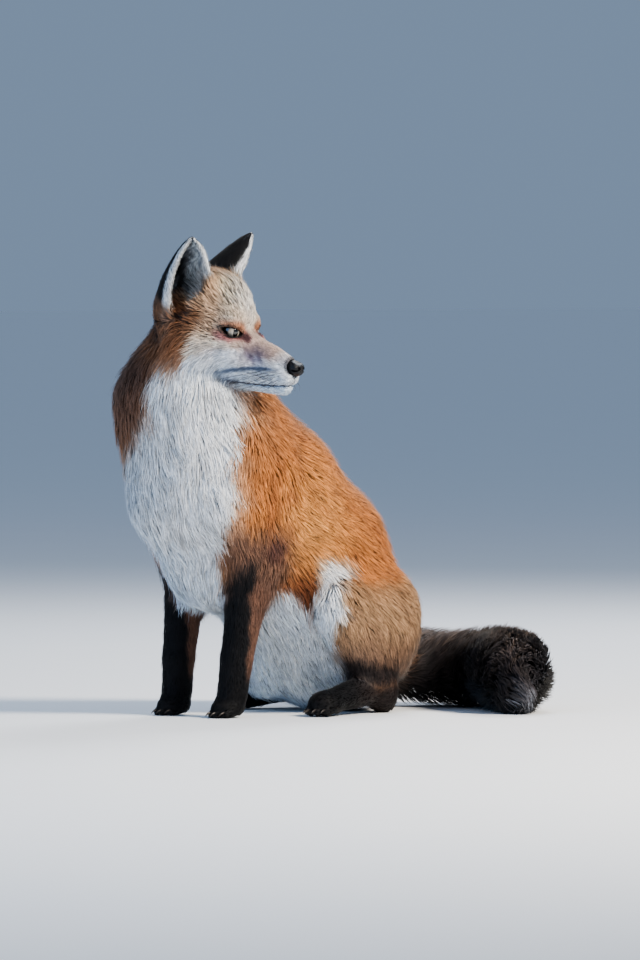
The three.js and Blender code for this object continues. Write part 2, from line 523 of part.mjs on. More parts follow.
// Eyes and nose are solids of their own, in sockets.
for (const [name, y] of [["eye_left", 1], ["eye_right", -1]]) {
  const at = headPoint([EYE.at[0], EYE.at[1] * y, EYE.at[2]]);
  const ball = (r) => fromGeometry(new THREE.SphereGeometry(r, 12, 8).translate(...at));
  const look = rad(EYE.look), tilt = rad(EYE.tilt);
  const out = [Math.cos(look), Math.sin(look) * y, 0.05], along = unit([-Math.sin(look) * Math.cos(tilt), Math.cos(look) * y * Math.cos(tilt), Math.sin(tilt)]);
  const g = unit(headVector(out)), u = unit(sub(headVector(along), mul(g, dot(headVector(along), g)))), w = cross(g, u);
  const lids = new THREE.SphereGeometry(1, 12, 6).scale(EYE.lids[2], EYE.lids[0], EYE.lids[1]).applyMatrix4(
    new THREE.Matrix4().makeBasis(new THREE.Vector3(...g), new THREE.Vector3(...u), new THREE.Vector3(...w)).setPosition(...add(at, mul(g, EYE.r))));
  rest = rest.subtract(ball(EYE.r + GAP)).subtract(fromGeometry(lids));
  nodes[name] = ball(EYE.r);
}
{
  const turn = new THREE.Matrix4().makeBasis(new THREE.Vector3(...headAxes.f), new THREE.Vector3(...headAxes.l), new THREE.Vector3(...headAxes.t));
  const pad = (grow) => fromGeometry(new THREE.SphereGeometry(1, 14, 8).scale(NOSE.size[0] + grow, NOSE.size[1] + grow, NOSE.size[2] + grow).applyMatrix4(turn).translate(...headPoint(NOSE.at)));
  const nostril = (y) => fromGeometry(new THREE.SphereGeometry(1, 7, 4).scale(3.4, 2.4, 1.9).applyMatrix4(turn).translate(...headPoint(add(NOSE.at, [7.2, 6 * y, 0.2]))));
  rest = rest.subtract(pad(GAP));
  nodes.nose = pad(0).subtract(nostril(1)).subtract(nostril(-1));
}
for (const [name, e] of [["ear_left", ears[0]], ["ear_right", ears[1]]])
  part(name, boxCutter(add(e.base, mul(e.axis, 34 + 50)), [36, 36, 50], [e.open, e.across, e.axis]));
// The head comes off by a slanted face under the chin and through the nape.
{
  const up = unit(add([0, 0, 1], mul([headAxes.f[0], headAxes.f[1], 0], 0.34)));
  part("head", boxCutter(add(headPoint([-30, 0, -62]), mul(up, 150)), [200, 200, 150], axesAlong(up, [1, 0, 0])));
}
part("neck", boxCutter(add([0, -160, 300], mul(unit([0, -0.32, 1]), 120)), [180, 180, 120], axesAlong(unit([0, -0.32, 1]), [1, 0, 0])));
for (const side of ["left", "right"]) {
  const s = side === "left" ? 1 : -1;
  const y = FRONT_FEET.y + (s > 0 ? 1 : -1) * FRONT_FEET.stagger / 2;
  const back = s > 0 ? 0 : HIND_FEET.stagger;
  part("front_leg_" + side, boxCutter([s * 50, y - 6, 60], [42, 62, 112]));
  part("hind_foot_" + side, boxCutter([s * 75, -36 + back, -20], [44, 92, 58]));
  part("thigh_" + side, drumCutter([s * 90, 6 + back * 0.5, 96], [78, 62], 44, 20));
}
part("tail", boxCutter([200, 190 + 108, 60], [400, 190, 120]), boxCutter([262, 100, 60], [150, 200, 120]));
nodes.trunk = rest;

// ---------------------------------------------------------------- the scene graph
const COLOURS = {
  coat: [0xb5652b, 0.85], white: [0xe9e6df, 0.85], dark: [0x1c1715, 0.8], tail: [0x4a3a30, 0.85],
  eye: [0x6b4418, 0.08], nose: [0x121113, 0.35],
};
const FINISH = {
  head: "coat", neck: "coat", trunk: "coat", ear_left: "dark", ear_right: "dark", eye_left: "eye", eye_right: "eye", nose: "nose",
  front_leg_left: "dark", front_leg_right: "dark", thigh_left: "coat", thigh_right: "coat", hind_foot_left: "dark", hind_foot_right: "dark",
  tail: "tail",
};
const fox = new THREE.Group();
fox.name = "fox";
for (const [name, s] of Object.entries(nodes)) {
  const m = s.simplify(SLIVER).getMesh();
  const g = new THREE.BufferGeometry();
  const p = new Float32Array(m.numVert * 3);
  for (let i = 0; i < m.numVert; i++) p.set(m.vertProperties.subarray(i * m.numProp, i * m.numProp + 3), i * 3);
  g.setAttribute("position", new THREE.BufferAttribute(p, 3));
  g.setIndex(new THREE.BufferAttribute(new Uint32Array(m.triVerts), 1));
  g.computeVertexNormals();
  const [color, roughness] = COLOURS[FINISH[name]];
  const mesh = new THREE.Mesh(g, new THREE.MeshStandardMaterial({ color, roughness, metalness: 0 }));
  mesh.name = name;
  fox.add(mesh);
}
fox.position.set(...SHIFT);
export default fox;
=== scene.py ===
"""A seated red fox, life size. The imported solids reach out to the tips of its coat; here one skin
lies inside them by the coat's depth, and the coat itself is made of thin closed tufts that
follow the lie of the hair. Lengths are in millimetres in the skeleton's own frame (trunk facing
-Y, left side at +X) until a mesh is written, which is in metres in the row's frame."""

import math
import time
from concurrent.futures import ThreadPoolExecutor

import bpy
import numpy as np
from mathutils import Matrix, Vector
from mathutils.kdtree import KDTree


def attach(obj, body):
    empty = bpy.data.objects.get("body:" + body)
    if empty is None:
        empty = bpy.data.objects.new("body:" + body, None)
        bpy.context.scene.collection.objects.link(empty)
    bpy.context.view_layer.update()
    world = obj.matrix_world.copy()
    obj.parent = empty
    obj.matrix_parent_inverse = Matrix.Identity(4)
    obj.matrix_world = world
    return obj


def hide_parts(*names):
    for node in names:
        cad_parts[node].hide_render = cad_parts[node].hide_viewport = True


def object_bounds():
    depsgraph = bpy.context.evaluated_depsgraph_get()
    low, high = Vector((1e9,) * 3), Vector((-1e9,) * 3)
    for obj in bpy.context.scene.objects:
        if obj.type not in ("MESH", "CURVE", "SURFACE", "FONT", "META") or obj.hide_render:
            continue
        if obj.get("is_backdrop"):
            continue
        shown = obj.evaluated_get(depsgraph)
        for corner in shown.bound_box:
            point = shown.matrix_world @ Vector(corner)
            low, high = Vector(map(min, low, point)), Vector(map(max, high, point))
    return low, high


START = time.time()
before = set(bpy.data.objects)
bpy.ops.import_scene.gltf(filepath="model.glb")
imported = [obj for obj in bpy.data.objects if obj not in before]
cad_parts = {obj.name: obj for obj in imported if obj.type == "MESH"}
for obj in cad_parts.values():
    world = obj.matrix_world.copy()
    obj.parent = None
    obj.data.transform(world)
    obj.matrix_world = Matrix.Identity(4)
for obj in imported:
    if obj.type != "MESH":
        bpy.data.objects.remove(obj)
cad_box = [list(c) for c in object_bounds()]
POOL = ThreadPoolExecutor(4)


def note(text):
    print(f"[{time.time() - START:6.1f} s] {text}", flush=True)


# ------------------------------------------------------------------ sizes, as in the solids (mm)
SHIFT = np.array([-53.8, 10.0, 0.0])
FRONT_FEET = dict(half=40, y=-159.5, stagger=10)
HIND_FEET = dict(heelY=32, stagger=32, splay=12)
HEAD = dict(eyes=(60, -160, 416.5), heading=110, pitch=13, roll=2)
EYE = dict(at=(0.8, 19.1, 0.0), r=10.2, look=48, tilt=9.5)
NOSE = dict(at=(77, 0, -23.5), size=(9.5, 10.5, 9))
EAR = dict(base=(-53, 30, 10), tip=(-43, 62, 92), facing=(50, 30), rim=(0, 2), half=24, thick=(10, 7), floor=(3, 44, 0.9), wrap=(118, 70), root=14)

V = lambda *a: np.array(a, float)
unit = lambda a: np.asarray(a, float) / (np.linalg.norm(a) or 1)
rad = math.radians
cross = np.cross


def mix(a, b, t):
    return a + (b - a) * t


def ramp(x, a, b):
    """0 at a, 1 at b, smooth between."""
    t = np.clip((x - a) / (b - a), 0, 1)
    return t * t * (3 - 2 * t)


a_, p_, r_ = rad(HEAD["heading"]), rad(HEAD["pitch"]), rad(HEAD["roll"])
h_ = V(math.sin(a_), -math.cos(a_), 0)
HF = V(h_[0] * math.cos(p_), h_[1] * math.cos(p_), -math.sin(p_))
side_ = V(-h_[1], h_[0], 0)
top_ = cross(HF, side_)
HT = top_ * math.cos(r_) - side_ * math.sin(r_)
HL = cross(HT, HF)
EYES = V(*HEAD["eyes"])


def head_point(p):
    return EYES + HF * p[0] + HL * p[1] + HT * p[2]


def head_vector(p):
    return HF * p[0] + HL * p[1] + HT * p[2]


def head_coords(x, y, z):
    x, y, z = x - EYES[0], y - EYES[1], z - EYES[2]
    return [x * e[0] + y * e[1] + z * e[2] for e in (HF, HL, HT)]


# ------------------------------------------------------------------ the body's field, as in the solids
class Limb:
    def __init__(s, group, a, b, ra, rb, k, ref=(1, 0, 0), caps=None):
        a, b = np.array(a, float), np.array(b, float)
        s.group, s.k, s.a = group, k, a
        s.L = float(np.linalg.norm(b - a))
        s.t = unit(b - a)
        s.e1 = unit(np.array(ref, float) - s.t * np.dot(ref, s.t))
        s.e2 = cross(s.t, s.e1)
        s.ra, s.rb = ra, rb
        s.caps = caps or (min(ra), min(rb))
        s.mid = a + s.t * s.L / 2
        s.reach = s.L / 2 + max(*ra, *rb, *(caps or (0,)))


class Mass(Limb):
    def __init__(s, group, c, r, k, axes=((1, 0, 0), (0, 1, 0), (0, 0, 1))):
        s.group, s.k, s.a, s.L = group, k, np.array(c, float), 0.0
        s.e1, s.t, s.e2 = (np.array(v, float) for v in axes)
        s.ra = s.rb = (r[0], r[2])
        s.caps = (r[1], r[1])
        s.mid, s.reach = s.a, max(r)


def limb_distance(m, x, y, z):
    dx, dy, dz = x - np.float32(m.a[0]), y - np.float32(m.a[1]), z - np.float32(m.a[2])
    dot = lambda e: dx * np.float32(e[0]) + dy * np.float32(e[1]) + dz * np.float32(e[2])
    w, u, v = dot(m.t), dot(m.e1), dot(m.e2)
    if m.L > 0:
        s = np.clip(w / np.float32(m.L), 0, 1)
        w = w - s * np.float32(m.L)
        r1, r2, rt = (np.float32(p) + np.float32(q - p) * s for p, q in ((m.ra[0], m.rb[0]), (m.ra[1], m.rb[1]), (m.caps[0], m.caps[1])))
    else:
        r1, r2, rt = np.float32(m.ra[0]), np.float32(m.ra[1]), np.float32(m.caps[0])
    u, v, w = u / r1, v / r2, w / rt
    k0 = np.sqrt(u * u + v * v + w * w)
    u, v, w = u / r1, v / r2, w / rt
    k1 = np.sqrt(u * u + v * v + w * w)
    return np.where(k1 < 1e-7, -np.minimum(np.minimum(r1, r2), rt), k0 * (k0 - 1) / np.maximum(k1, 1e-7))


def smin(a, b, k):
    h = np.maximum(k - np.abs(a - b), 0) / np.float32(k)
    return np.minimum(a, b) - h * h * np.float32(k / 4)


def smax(a, b, k):
    return -smin(-a, -b, k)


PARTS = []
limb = lambda *a, **k: PARTS.append(Limb(*a, **k))
mass = lambda *a, **k: PARTS.append(Mass(*a, **k))
RUMP, LOIN, RIBS, WITHERS, NECK_TOP = V(0, 36, 78), V(0, -16, 156), V(0, -92, 226), V(0, -142, 284), V(4, -176, 384)
limb("trunk", RUMP, LOIN, (80, 84), (74, 98), 30, (1, 0, 0), (76, 84))
limb("trunk", LOIN, RIBS, (74, 98), (80, 100), 30)
limb("trunk", RIBS, WITHERS, (80, 100), (80, 84), 30)
mass("trunk", (0, -182, 246), (72, 62, 76), 34)
mass("trunk", (-36, -188, 336), (60, 54, 58), 30)
mass("trunk", (0, -160, 160), (44, 42, 44), 34)
limb("trunk", (0, -100, 150), (0, -30, 92), (62, 44), (66, 42), 30)
mass("trunk", (-14, 2, 62), (50, 44, 56), 26)
mass("trunk", (-35, -45, 62), (36, 34, 50), 20)
limb("neck", WITHERS + V(0, -16, 16), NECK_TOP, (80, 82), (60, 60), 34)
mass("neck", (6, -206, 340), (58, 46, 52), 34)

TOES = []  # tip, heading and size of every toe, for the claws


def paw(group, at, heading, size):
    d = unit(V(heading[0], heading[1], 0))
    w = V(-d[1], d[0], 0)
    spot = lambda f, l, z: np.array(at, float) + d * f * size + w * l * size + V(0, 0, z * size)
    mass(group, spot(-2, 0, 4), (17.5 * size, 23 * size, 14 * size), 8, (w, d, V(0, 0, 1)))
    for l, f in ((-12.5, 6), (-4.6, 13), (4.6, 13), (12.5, 6)):
        limb(group, spot(f - 12, l * 0.85, 4), spot(f + 5, l, -4.5), (6.4 * size, 8.2 * size), (5.8 * size, 6.6 * size), 3.2, w, (6.5 * size, 6.5 * size))
        TOES.append((spot(f + 5, l, -4.5), d, size))


def front_leg(side):
    s = lambda *p: V(p[0] * side, p[1], p[2])
    g = "front_leg_left" if side > 0 else "front_leg_right"
    y = FRONT_FEET["y"] + side * FRONT_FEET["stagger"] / 2
    x = FRONT_FEET["half"]
    shoulder, point, elbow = s(54, -128, 262), s(50, -168, 228), s(50, y + 24, 176)
    wrist, ankle = s(x + 3, y + 4, 62), s(x + 1, y, 26)
    limb(g, shoulder, point, (36, 42), (34, 36), 26)
    limb(g, point, elbow, (33, 36), (26, 34), 26)
    limb(g, shoulder, elbow, (34, 40), (25, 32), 26)
    limb(g, elbow, wrist, (21, 27), (16.5, 18.5), 14)
    limb(g, wrist, ankle, (16.5, 18.5), (15.5, 17.5), 4)
    paw(g, s(x, y - 7, 7), s(0, -1, 0), 0.88)


def hind_leg(side):
    s = lambda *p: V(p[0] * side, p[1], p[2])
    thigh, foot = ("thigh_left", "hind_foot_left") if side > 0 else ("thigh_right", "hind_foot_right")
    back = 0 if side > 0 else HIND_FEET["stagger"]
    hip, knee = s(48, 44 + back * 0.2, 98), s(76, -38 + back * 0.6, 120)
    heel = s(66, HIND_FEET["heelY"] + back, 30)
    a = rad(HIND_FEET["splay"])
    way = s(math.sin(a), -math.cos(a), 0)
    toes = heel + way * 98 + V(0, 0, -16)
    limb(thigh, hip, knee, (45, 62), (23, 36), 24, (1, 0, 0), (56, 28))
    limb(thigh, knee, heel + V(0, -8, 14), (22, 32), (17, 25), 18)
    limb(foot, heel, toes, (14.5, 20), (15, 12), 12, (1, 0, 0), (16, 12))
    mass(foot, heel + V(0, 4, -10), (15, 18, 24), 12)
    paw(foot, toes + V(0, 0, -5), way, 0.95)


for side in (1, -1):
    front_leg(side)
    hind_leg(side)

TAIL = dict(start=(0, 98, 54), heading=120, turn=-160, easing=2.6, length=300, steps=12, drop=3)
TAIL_LINE = []


def tail_radius(t):
    return mix(35, 46, math.sin(min(1, t * 1.35) * math.pi / 2)) * (math.sqrt(max(1 - ((t - 0.68) / 0.33) ** 2, 0.03)) if t > 0.68 else 1)


p, a = V(*TAIL["start"]), TAIL["heading"]
for i in range(TAIL["steps"] + 1):
    t = i / TAIL["steps"]
    r = tail_radius(t)
    TAIL_LINE.append((V(p[0], p[1], max(mix(p[2], r - 2, min(1, t * TAIL["drop"])), 6)), r))
    a = TAIL["heading"] + TAIL["turn"] * (1 - (1 - t) ** TAIL["easing"])
    p = p + V(math.cos(rad(a)), math.sin(rad(a)), 0) * TAIL["length"] / TAIL["steps"]
for i in range(TAIL["steps"]):
    (p0, r0), (p1, r1) = TAIL_LINE[i], TAIL_LINE[i + 1]
    limb("tail_base" if i < TAIL["steps"] / 2 else "tail_tip", p0, p1, (r0, r0), (r1, r1), 12, (0, 0, 1))

axes_ = (HL, HF, HT)
hm = lambda c, r, k: mass("head", head_point(c), (r[1], r[0], r[2]), k, axes_)
hs = lambda a, b, ra, rb, k, caps=None: limb("head", head_point(a), head_point(b), ra, rb, k, HL, caps)
hm((-40, 0, 8), (46, 42, 51), 14)
hm((-21, 0, 12), (34, 28, 41), 12)
hm((-66, 0, -12), (34, 42, 42), 24)
hm((-24, 0, -40), (36, 34, 28), 20)
hs((6, 0, -21), (44, 0, -27), (24.5, 20), (16, 16), 14)
hs((44, 0, -27), (68, 0, -30), (16, 16), (12, 12), 8, (10, 9))
hs((16, 0, -8), (71, 0, -21), (13, 8), (8, 5.5), 9)
hs((2, 0, -52), (67.5, 0, -48.5), (19, 12), (9, 7.4), 5, (12, 8.5))
for y in (1, -1):
    hm((0, 18 * y, 11), (12, 10, 8), 9)
    hm((-8, 26 * y, -20), (29, 16, 22), 16)
    hm((0, 20 * y, -33), (27, 12, 16), 14)
    hm((-40, 37 * y, -26), (34, 26, 34), 20)
    hm((-46, 33 * y, 26), (22, 20, 22), 16)
    hs((-12, 17 * y, -46), (26, 12 * y, -42), (17, 15), (10, 11), 12)
    hs((33, 10.5 * y, -37), (71, 5.5 * y, -36), (8.5, 9.5), (7.6, 8.5), 6)


class Ear:
    def __init__(s, side):
        put = lambda p: (p[0], p[1] * side, p[2])
        s.side = side
        s.base, s.tip = head_point(put(EAR["base"])), head_point(put(EAR["tip"]))
        s.axis = unit(s.tip - s.base)
        turn = rad(EAR["facing"][0 if side > 0 else 1])
        o = head_vector(put((math.cos(turn), math.sin(turn), 0)))
        s.open = unit(o - s.axis * np.dot(o, s.axis))
        s.rim = EAR["rim"][0 if side > 0 else 1]
        s.across = cross(s.axis, s.open)
        s.L = float(np.linalg.norm(s.tip - s.base))

    def coords(s, x, y, z):
        x, y, z = x - np.float32(s.base[0]), y - np.float32(s.base[1]), z - np.float32(s.base[2])
        return [x * np.float32(e[0]) + y * np.float32(e[1]) + z * np.float32(e[2]) for e in (s.axis, s.across, s.open)]

    def section(s, h):
        t = np.clip(h / s.L, 0, 1)
        half = EAR["half"] * np.maximum(1 - t**2.6, 1e-4) ** 0.75 + 0.6
        wrap = np.radians(mix(EAR["wrap"][0], EAR["wrap"][1], t))
        r = half / np.sin(np.minimum(wrap, math.pi / 2))
        return t, wrap, r, mix(EAR["thick"][0], EAR["thick"][1], t) / 2

    def distance(s, x, y, z):
        h, a, o = s.coords(x, y, z)
        t, wrap, r, half = s.section(h)
        oc = r * np.cos(wrap) + s.rim
        q, phi = np.hypot(a, o - oc), np.arctan2(np.abs(a), oc - o)
        d = np.where(phi < wrap, np.abs(q - r), np.hypot(np.abs(a) - r * np.sin(wrap), o - oc + r * np.cos(wrap)))
        return np.hypot(d, h - np.clip(h, -EAR["root"], s.L)) - half

    def hollow(s, x, y, z):
        h, a, o = s.coords(x, y, z)
        t, wrap, r, half = s.section(h)
        q = np.hypot(a, o - r * np.cos(wrap) - s.rim) - r + half
        hf, hl, ht = head_coords(x, y, z)
        fl = EAR["floor"]
        floor = (fl[0] + (fl[1] - np.abs(hl)) * fl[2] - ht) * 0.64
        return smax(smax(q, o - s.rim - 11, 4), floor, 8)


EARS = [Ear(1), Ear(-1)]
GROUPS = list(dict.fromkeys(m.group for m in PARTS))
MELT = dict(head=14, neck=30, thigh_left=11, thigh_right=11, tail_base=16, tail_tip=12, hind_foot_left=8, hind_foot_right=8, front_leg_left=18, front_leg_right=18, trunk=20)
BY_GROUP = {g: [m for m in PARTS if m.group == g] for g in GROUPS}
NG = len(GROUPS)
GI = {g: i for i, g in enumerate(GROUPS)}
EAR_I = NG


def body(x, y, z):
    """The coat's outer distance, and each group's own (the ears' last), at float32 points."""
    G = np.full((NG + 1, len(x)), 1e3, np.float32)
    if not len(x):
        return np.zeros(0, np.float32), G
    mid = V(*(0.5 * (c.min() + c.max()) for c in (x, y, z)))
    wide = 0.5 * math.sqrt(sum(float(c.max() - c.min()) ** 2 for c in (x, y, z)))
    for gi, g in enumerate(GROUPS):
        d = G[gi]
        for m in BY_GROUP[g]:
            if np.linalg.norm(mid - m.mid) - wide - m.reach > 60:
                continue
            away = np.sqrt((x - np.float32(m.mid[0])) ** 2 + (y - np.float32(m.mid[1])) ** 2 + (z - np.float32(m.mid[2])) ** 2) - np.float32(m.reach)
            i = np.nonzero((away <= d + m.k) & (away <= 60))[0]
            if i.size:
                d[i] = smin(d[i], limb_distance(m, x[i], y[i], z[i]), m.k)
    d = np.full(len(x), 1e3, np.float32)
    for gi, g in enumerate(GROUPS):
        d = smin(d, G[gi], MELT[g])
    for e in EARS:
        if np.linalg.norm(mid - e.base) - wide > 125:
            continue
        i = np.nonzero((x - e.base[0]) ** 2 + (y - e.base[1]) ** 2 + (z - e.base[2]) ** 2 <= 125**2)[0]
        if i.size:
            ed = e.distance(x[i], y[i], z[i]).astype(np.float32)
            d[i] = smax(smin(d[i], ed, 6), -e.hollow(x[i], y[i], z[i]).astype(np.float32), 3)
            G[EAR_I, i] = np.minimum(G[EAR_I, i], ed)
    return d, G


# ------------------------------------------------------------------ how deep the coat is
EYE_AT = [head_point((EYE["at"][0], EYE["at"][1] * y, EYE["at"][2])) for y in (1, -1)]


def eye_frame(y):
    look, tilt = rad(EYE["look"]), rad(EYE["tilt"])
    out = unit(head_vector((math.cos(look), math.sin(look) * y, 0.05)))
    along = head_vector((-math.sin(look) * math.cos(tilt), math.cos(look) * y * math.cos(tilt), math.sin(tilt)))
    u = unit(along - out * np.dot(along, out))
    return out, u, cross(out, u)


EYE_FRAMES = [eye_frame(1), eye_frame(-1)]


def opening(a, b):
    """How far a point is outside the almond between the lids, in the lids' own plane."""
    long, high, low = 12.4, 4.9, 3.9
    ru, rl = (long**2 + high**2) / (2 * high), (long**2 + low**2) / (2 * low)
    return smax(np.hypot(a, b + ru - high) - ru, np.hypot(a, b - rl + low) - rl, 0.8)


def weights(G, soft=6.0):
    w = np.exp(-(G - G.min(0)) / np.float32(soft))
    return w / w.sum(0)


def coat_depth(x, y, z, G, w=None):
    w = weights(G) if w is None else w
    hf, hl, ht = head_coords(x, y, z)
    back = ramp(hf, 10, -45)
    low, side = ramp(ht, -12, -45), ramp(np.abs(hl), 20, 38)
    head = 1.4 + 1.6 * ramp(hf, 24, -6) + back * (2 + 6 * np.maximum(low, side * ramp(ht, 25, 0))) + 5 * ramp(hf, -52, -78)
    head = head + 3.6 * ramp(ht, 12, 32) * ramp(hf, 16, -4)
    head = mix(head, np.minimum(head, 2.6), ramp(G[EAR_I], 11, 3))
    d = w[GI["head"]] * head
    d = d + w[GI["neck"]] * 15
    d = d + w[GI["trunk"]] * ((11 + 5 * ramp(y, -150, -200)) * mix(0.62, 1, ramp(z, 20, 90)))
    for s in ("left", "right"):
        d = d + w[GI["front_leg_" + s]] * (1.8 + 1.4 * ramp(z, 16, 40) + 5.5 * ramp(z, 120, 200))
        d = d + w[GI["thigh_" + s]] * (4.5 + 4.5 * ramp(z, 50, 95))
        d = d + w[GI["hind_foot_" + s]] * (2.0 + 1.0 * ramp(z, 16, 40))
    d = d + w[GI["tail_base"]] * 18 + w[GI["tail_tip"]] * 20
    d = d + w[EAR_I] * 2.0
    for e in EYE_AT:
        r = np.sqrt((x - e[0]) ** 2 + (y - e[1]) ** 2 + (z - e[2]) ** 2)
        d = mix(1.1, d, ramp(r, 11, 22))
    return d


LIP = lambda hf: -50.6 + 0.082 * hf - 2.2 * np.sin(np.clip(hf / 76, 0, 1) * math.pi) + 2.2 * ramp(hf, 12, -2) + 1.6 * ramp(hf, 62, 80)


def skin_chunk(x, y, z):
    """The skin's distance; and the coat's depth, and the groups' distances, at the same points."""
    d, G = body(x, y, z)
    w = weights(G)
    depth = coat_depth(x, y, z, G, w)
    f = d + depth
    hf, hl, ht = head_coords(x, y, z)
    i = np.nonzero((np.abs(hf - 20) < 75) & (np.abs(ht + 20) < 62) & (np.abs(hl) < 48))[0]
    if i.size:
        hf, hl, ht, g = hf[i], hl[i], ht[i], f[i]
        # the closed mouth, with the corner turned up a little, and the groove below the nose
        g = g + 1.3 * np.exp(-(((ht - LIP(hf)) / 1.05) ** 2)) * ramp(hf, -1, 9) * ramp(hf, 88, 83)
        g = g + 0.9 * np.exp(-((hl / 0.9) ** 2)) * ramp(hf, 72, 77) * ramp(ht, -48, -43)
        # whisker pads, and the dip between the eyes
        g = g - 0.7 * np.exp(-(((hf - 56) / 11) ** 2) - (((np.abs(hl) - 12) / 7) ** 2) - (((ht + 35) / 6) ** 2))
        g = g + 1.3 * np.exp(-((hl / 7) ** 2) - (((hf - 14) / 20) ** 2)) * ramp(ht, -10, 0)
        for e, (out, u, v) in zip(EYE_AT, EYE_FRAMES):
            dx, dy, dz = x[i] - e[0], y[i] - e[1], z[i] - e[2]
            r = np.sqrt(dx * dx + dy * dy + dz * dz)
            g = smin(g, r - (EYE["r"] + 0.9), 3.0)
            o, a, b = (dx * q[0] + dy * q[1] + dz * q[2] for q in (out, u, v))
            o = o - EYE["r"]
            q = opening(a, b)
            # the lids stand up round the opening, the upper one most
            g = g - mix(0.45, 0.65, ramp(b, -2, 3)) * np.exp(-(((q - 1.3) / 1.3) ** 2)) * np.exp(-(((o + 1.5) / 5.0) ** 2))
            g = smax(g, -smax(q, np.abs(o + 1) - 7.5, 1.0), 0.5)
        f[i] = g
    return np.maximum(f, 0.15 - z), depth, G


def in_chunks(function, x, y, z, size=24000):
    parts = [slice(i, i + size) for i in range(0, len(x), size)]
    out = list(POOL.map(lambda s: function(x[s], y[s], z[s]), parts))
    if isinstance(out[0], tuple):
        return tuple(np.concatenate([o[i] for o in out], axis=-1) for i in range(len(out[0])))
    return np.concatenate(out, axis=-1)


def split(p):
    p = np.asarray(p, np.float32)
    return np.ascontiguousarray(p[:, 0]), np.ascontiguousarray(p[:, 1]), np.ascontiguousarray(p[:, 2])


def skin_here(p, step=0.5, field=None):
    """Distance, unit normal, depth and groups at points (n, 3)."""
    x, y, z = split(p)
    f, depth, G = in_chunks(skin_chunk, x, y, z)
    only = lambda *a: skin_chunk(*a)[0]
    g = np.stack([in_chunks(only, x + dx, y + dy, z + dz) - f for dx, dy, dz in ((step, 0, 0), (0, step, 0), (0, 0, step))], 1) / step
    return f, g, depth, G


# ------------------------------------------------------------------ meshing
def grid_lines(low, high, a, b, fine, coarse):
    """Lines between low and high, fine between a and b, in a multiple of four cells."""
    n = 4 * math.ceil((b - a) / fine / 4)
    mid = a + fine * np.arange(n + 1)
    before = a - coarse * np.arange(4 * math.ceil((a - low) / coarse / 4), 0, -1) if low < a else []
    after = mid[-1] + coarse * np.arange(1, 4 * math.ceil((high - mid[-1]) / coarse / 4) + 1) if high > mid[-1] else []
    return np.concatenate([before, mid, after]).astype(np.float32)


def surface_nets(F, lines):
    inside = F < 0
    c = np.zeros(tuple(n - 1 for n in F.shape), np.uint8)
    cut = lambda A, i, j, k: A[i : A.shape[0] - 1 + i, j : A.shape[1] - 1 + j, k : A.shape[2] - 1 + k]
    corners = [(i, j, k) for i in (0, 1) for j in (0, 1) for k in (0, 1)]
    for q in corners:
        c += cut(inside, *q)
    act = (c > 0) & (c < 8)
    ci = np.nonzero(act)
    n = len(ci[0])
    ids = np.full(c.shape, -1, np.int32)
    ids[act] = np.arange(n)
    pos, cnt = np.zeros((n, 3)), np.zeros(n)
    at = lambda q: tuple(ci[d] + q[d] for d in range(3))
    place = lambda q: np.stack([lines[d][ci[d] + q[d]] for d in range(3)], 1)
    for q in corners:
        for d in range(3):
            if q[d]:
                continue
            e = list(q)
            e[d] = 1
            va, vb = F[at(q)], F[at(e)]
            hit = (va < 0) != (vb < 0)
            t = np.where(hit, va / np.where(hit, va - vb, 1), 0)[:, None]
            pos += np.where(hit[:, None], place(q) * (1 - t) + place(e) * t, 0)
            cnt += hit
    pos /= cnt[:, None]
    quads = []
    for d in range(3):
        u, v = (d + 1) % 3, (d + 2) % 3
        lo, hi = [slice(None)] * 3, [slice(None)] * 3
        lo[d], hi[d] = slice(0, -1), slice(1, None)
        A, B = inside[tuple(lo)], inside[tuple(hi)]
        e = np.array(np.nonzero(A != B)).T
        e = e[(e[:, u] > 0) & (e[:, v] > 0) & (e[:, u] < F.shape[u] - 1) & (e[:, v] < F.shape[v] - 1)]
        out = A[tuple(e.T)]
        ring = []
        for du, dv in ((-1, -1), (0, -1), (0, 0), (-1, 0)):
            q = e.copy()
            q[:, u] += du
            q[:, v] += dv
            ring.append(ids[tuple(q.T)])
        ring = np.stack(ring, 1)
        ring[~out] = ring[~out][:, ::-1]
        quads.append(ring)
    return pos, np.concatenate(quads)


def biggest_piece(pos, quads):
    label = np.arange(len(pos))
    while True:
        low = label[quads].min(1)
        new = label.copy()
        for k in range(4):
            np.minimum.at(new, quads[:, k], low)
        new = new[new]
        if (new == label).all():
            break
        label = new
    keep = label == np.bincount(label).argmax()
    index = np.cumsum(keep) - 1
    return pos[keep], index[quads[keep[quads[:, 0]]]]


def project(p, rounds=2, most=1.5):
    for _ in range(rounds):
        f, g, _, _ = skin_here(p)
        gg = np.maximum((g * g).sum(1), 0.05)
        p = p - g * np.clip(f / gg, -most, most)[:, None] / 1.0
        p[:, 2] = np.maximum(p[:, 2], 0.15)
    return p


FINE, COARSE = ((1.55, 3.7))
LX = grid_lines(-134, 262, -48, 142, FINE, COARSE)
LY = grid_lines(-262, 250, -262, -86, FINE, COARSE)
LZ = grid_lines(-8, 526, 352, 526, FINE, COARSE)


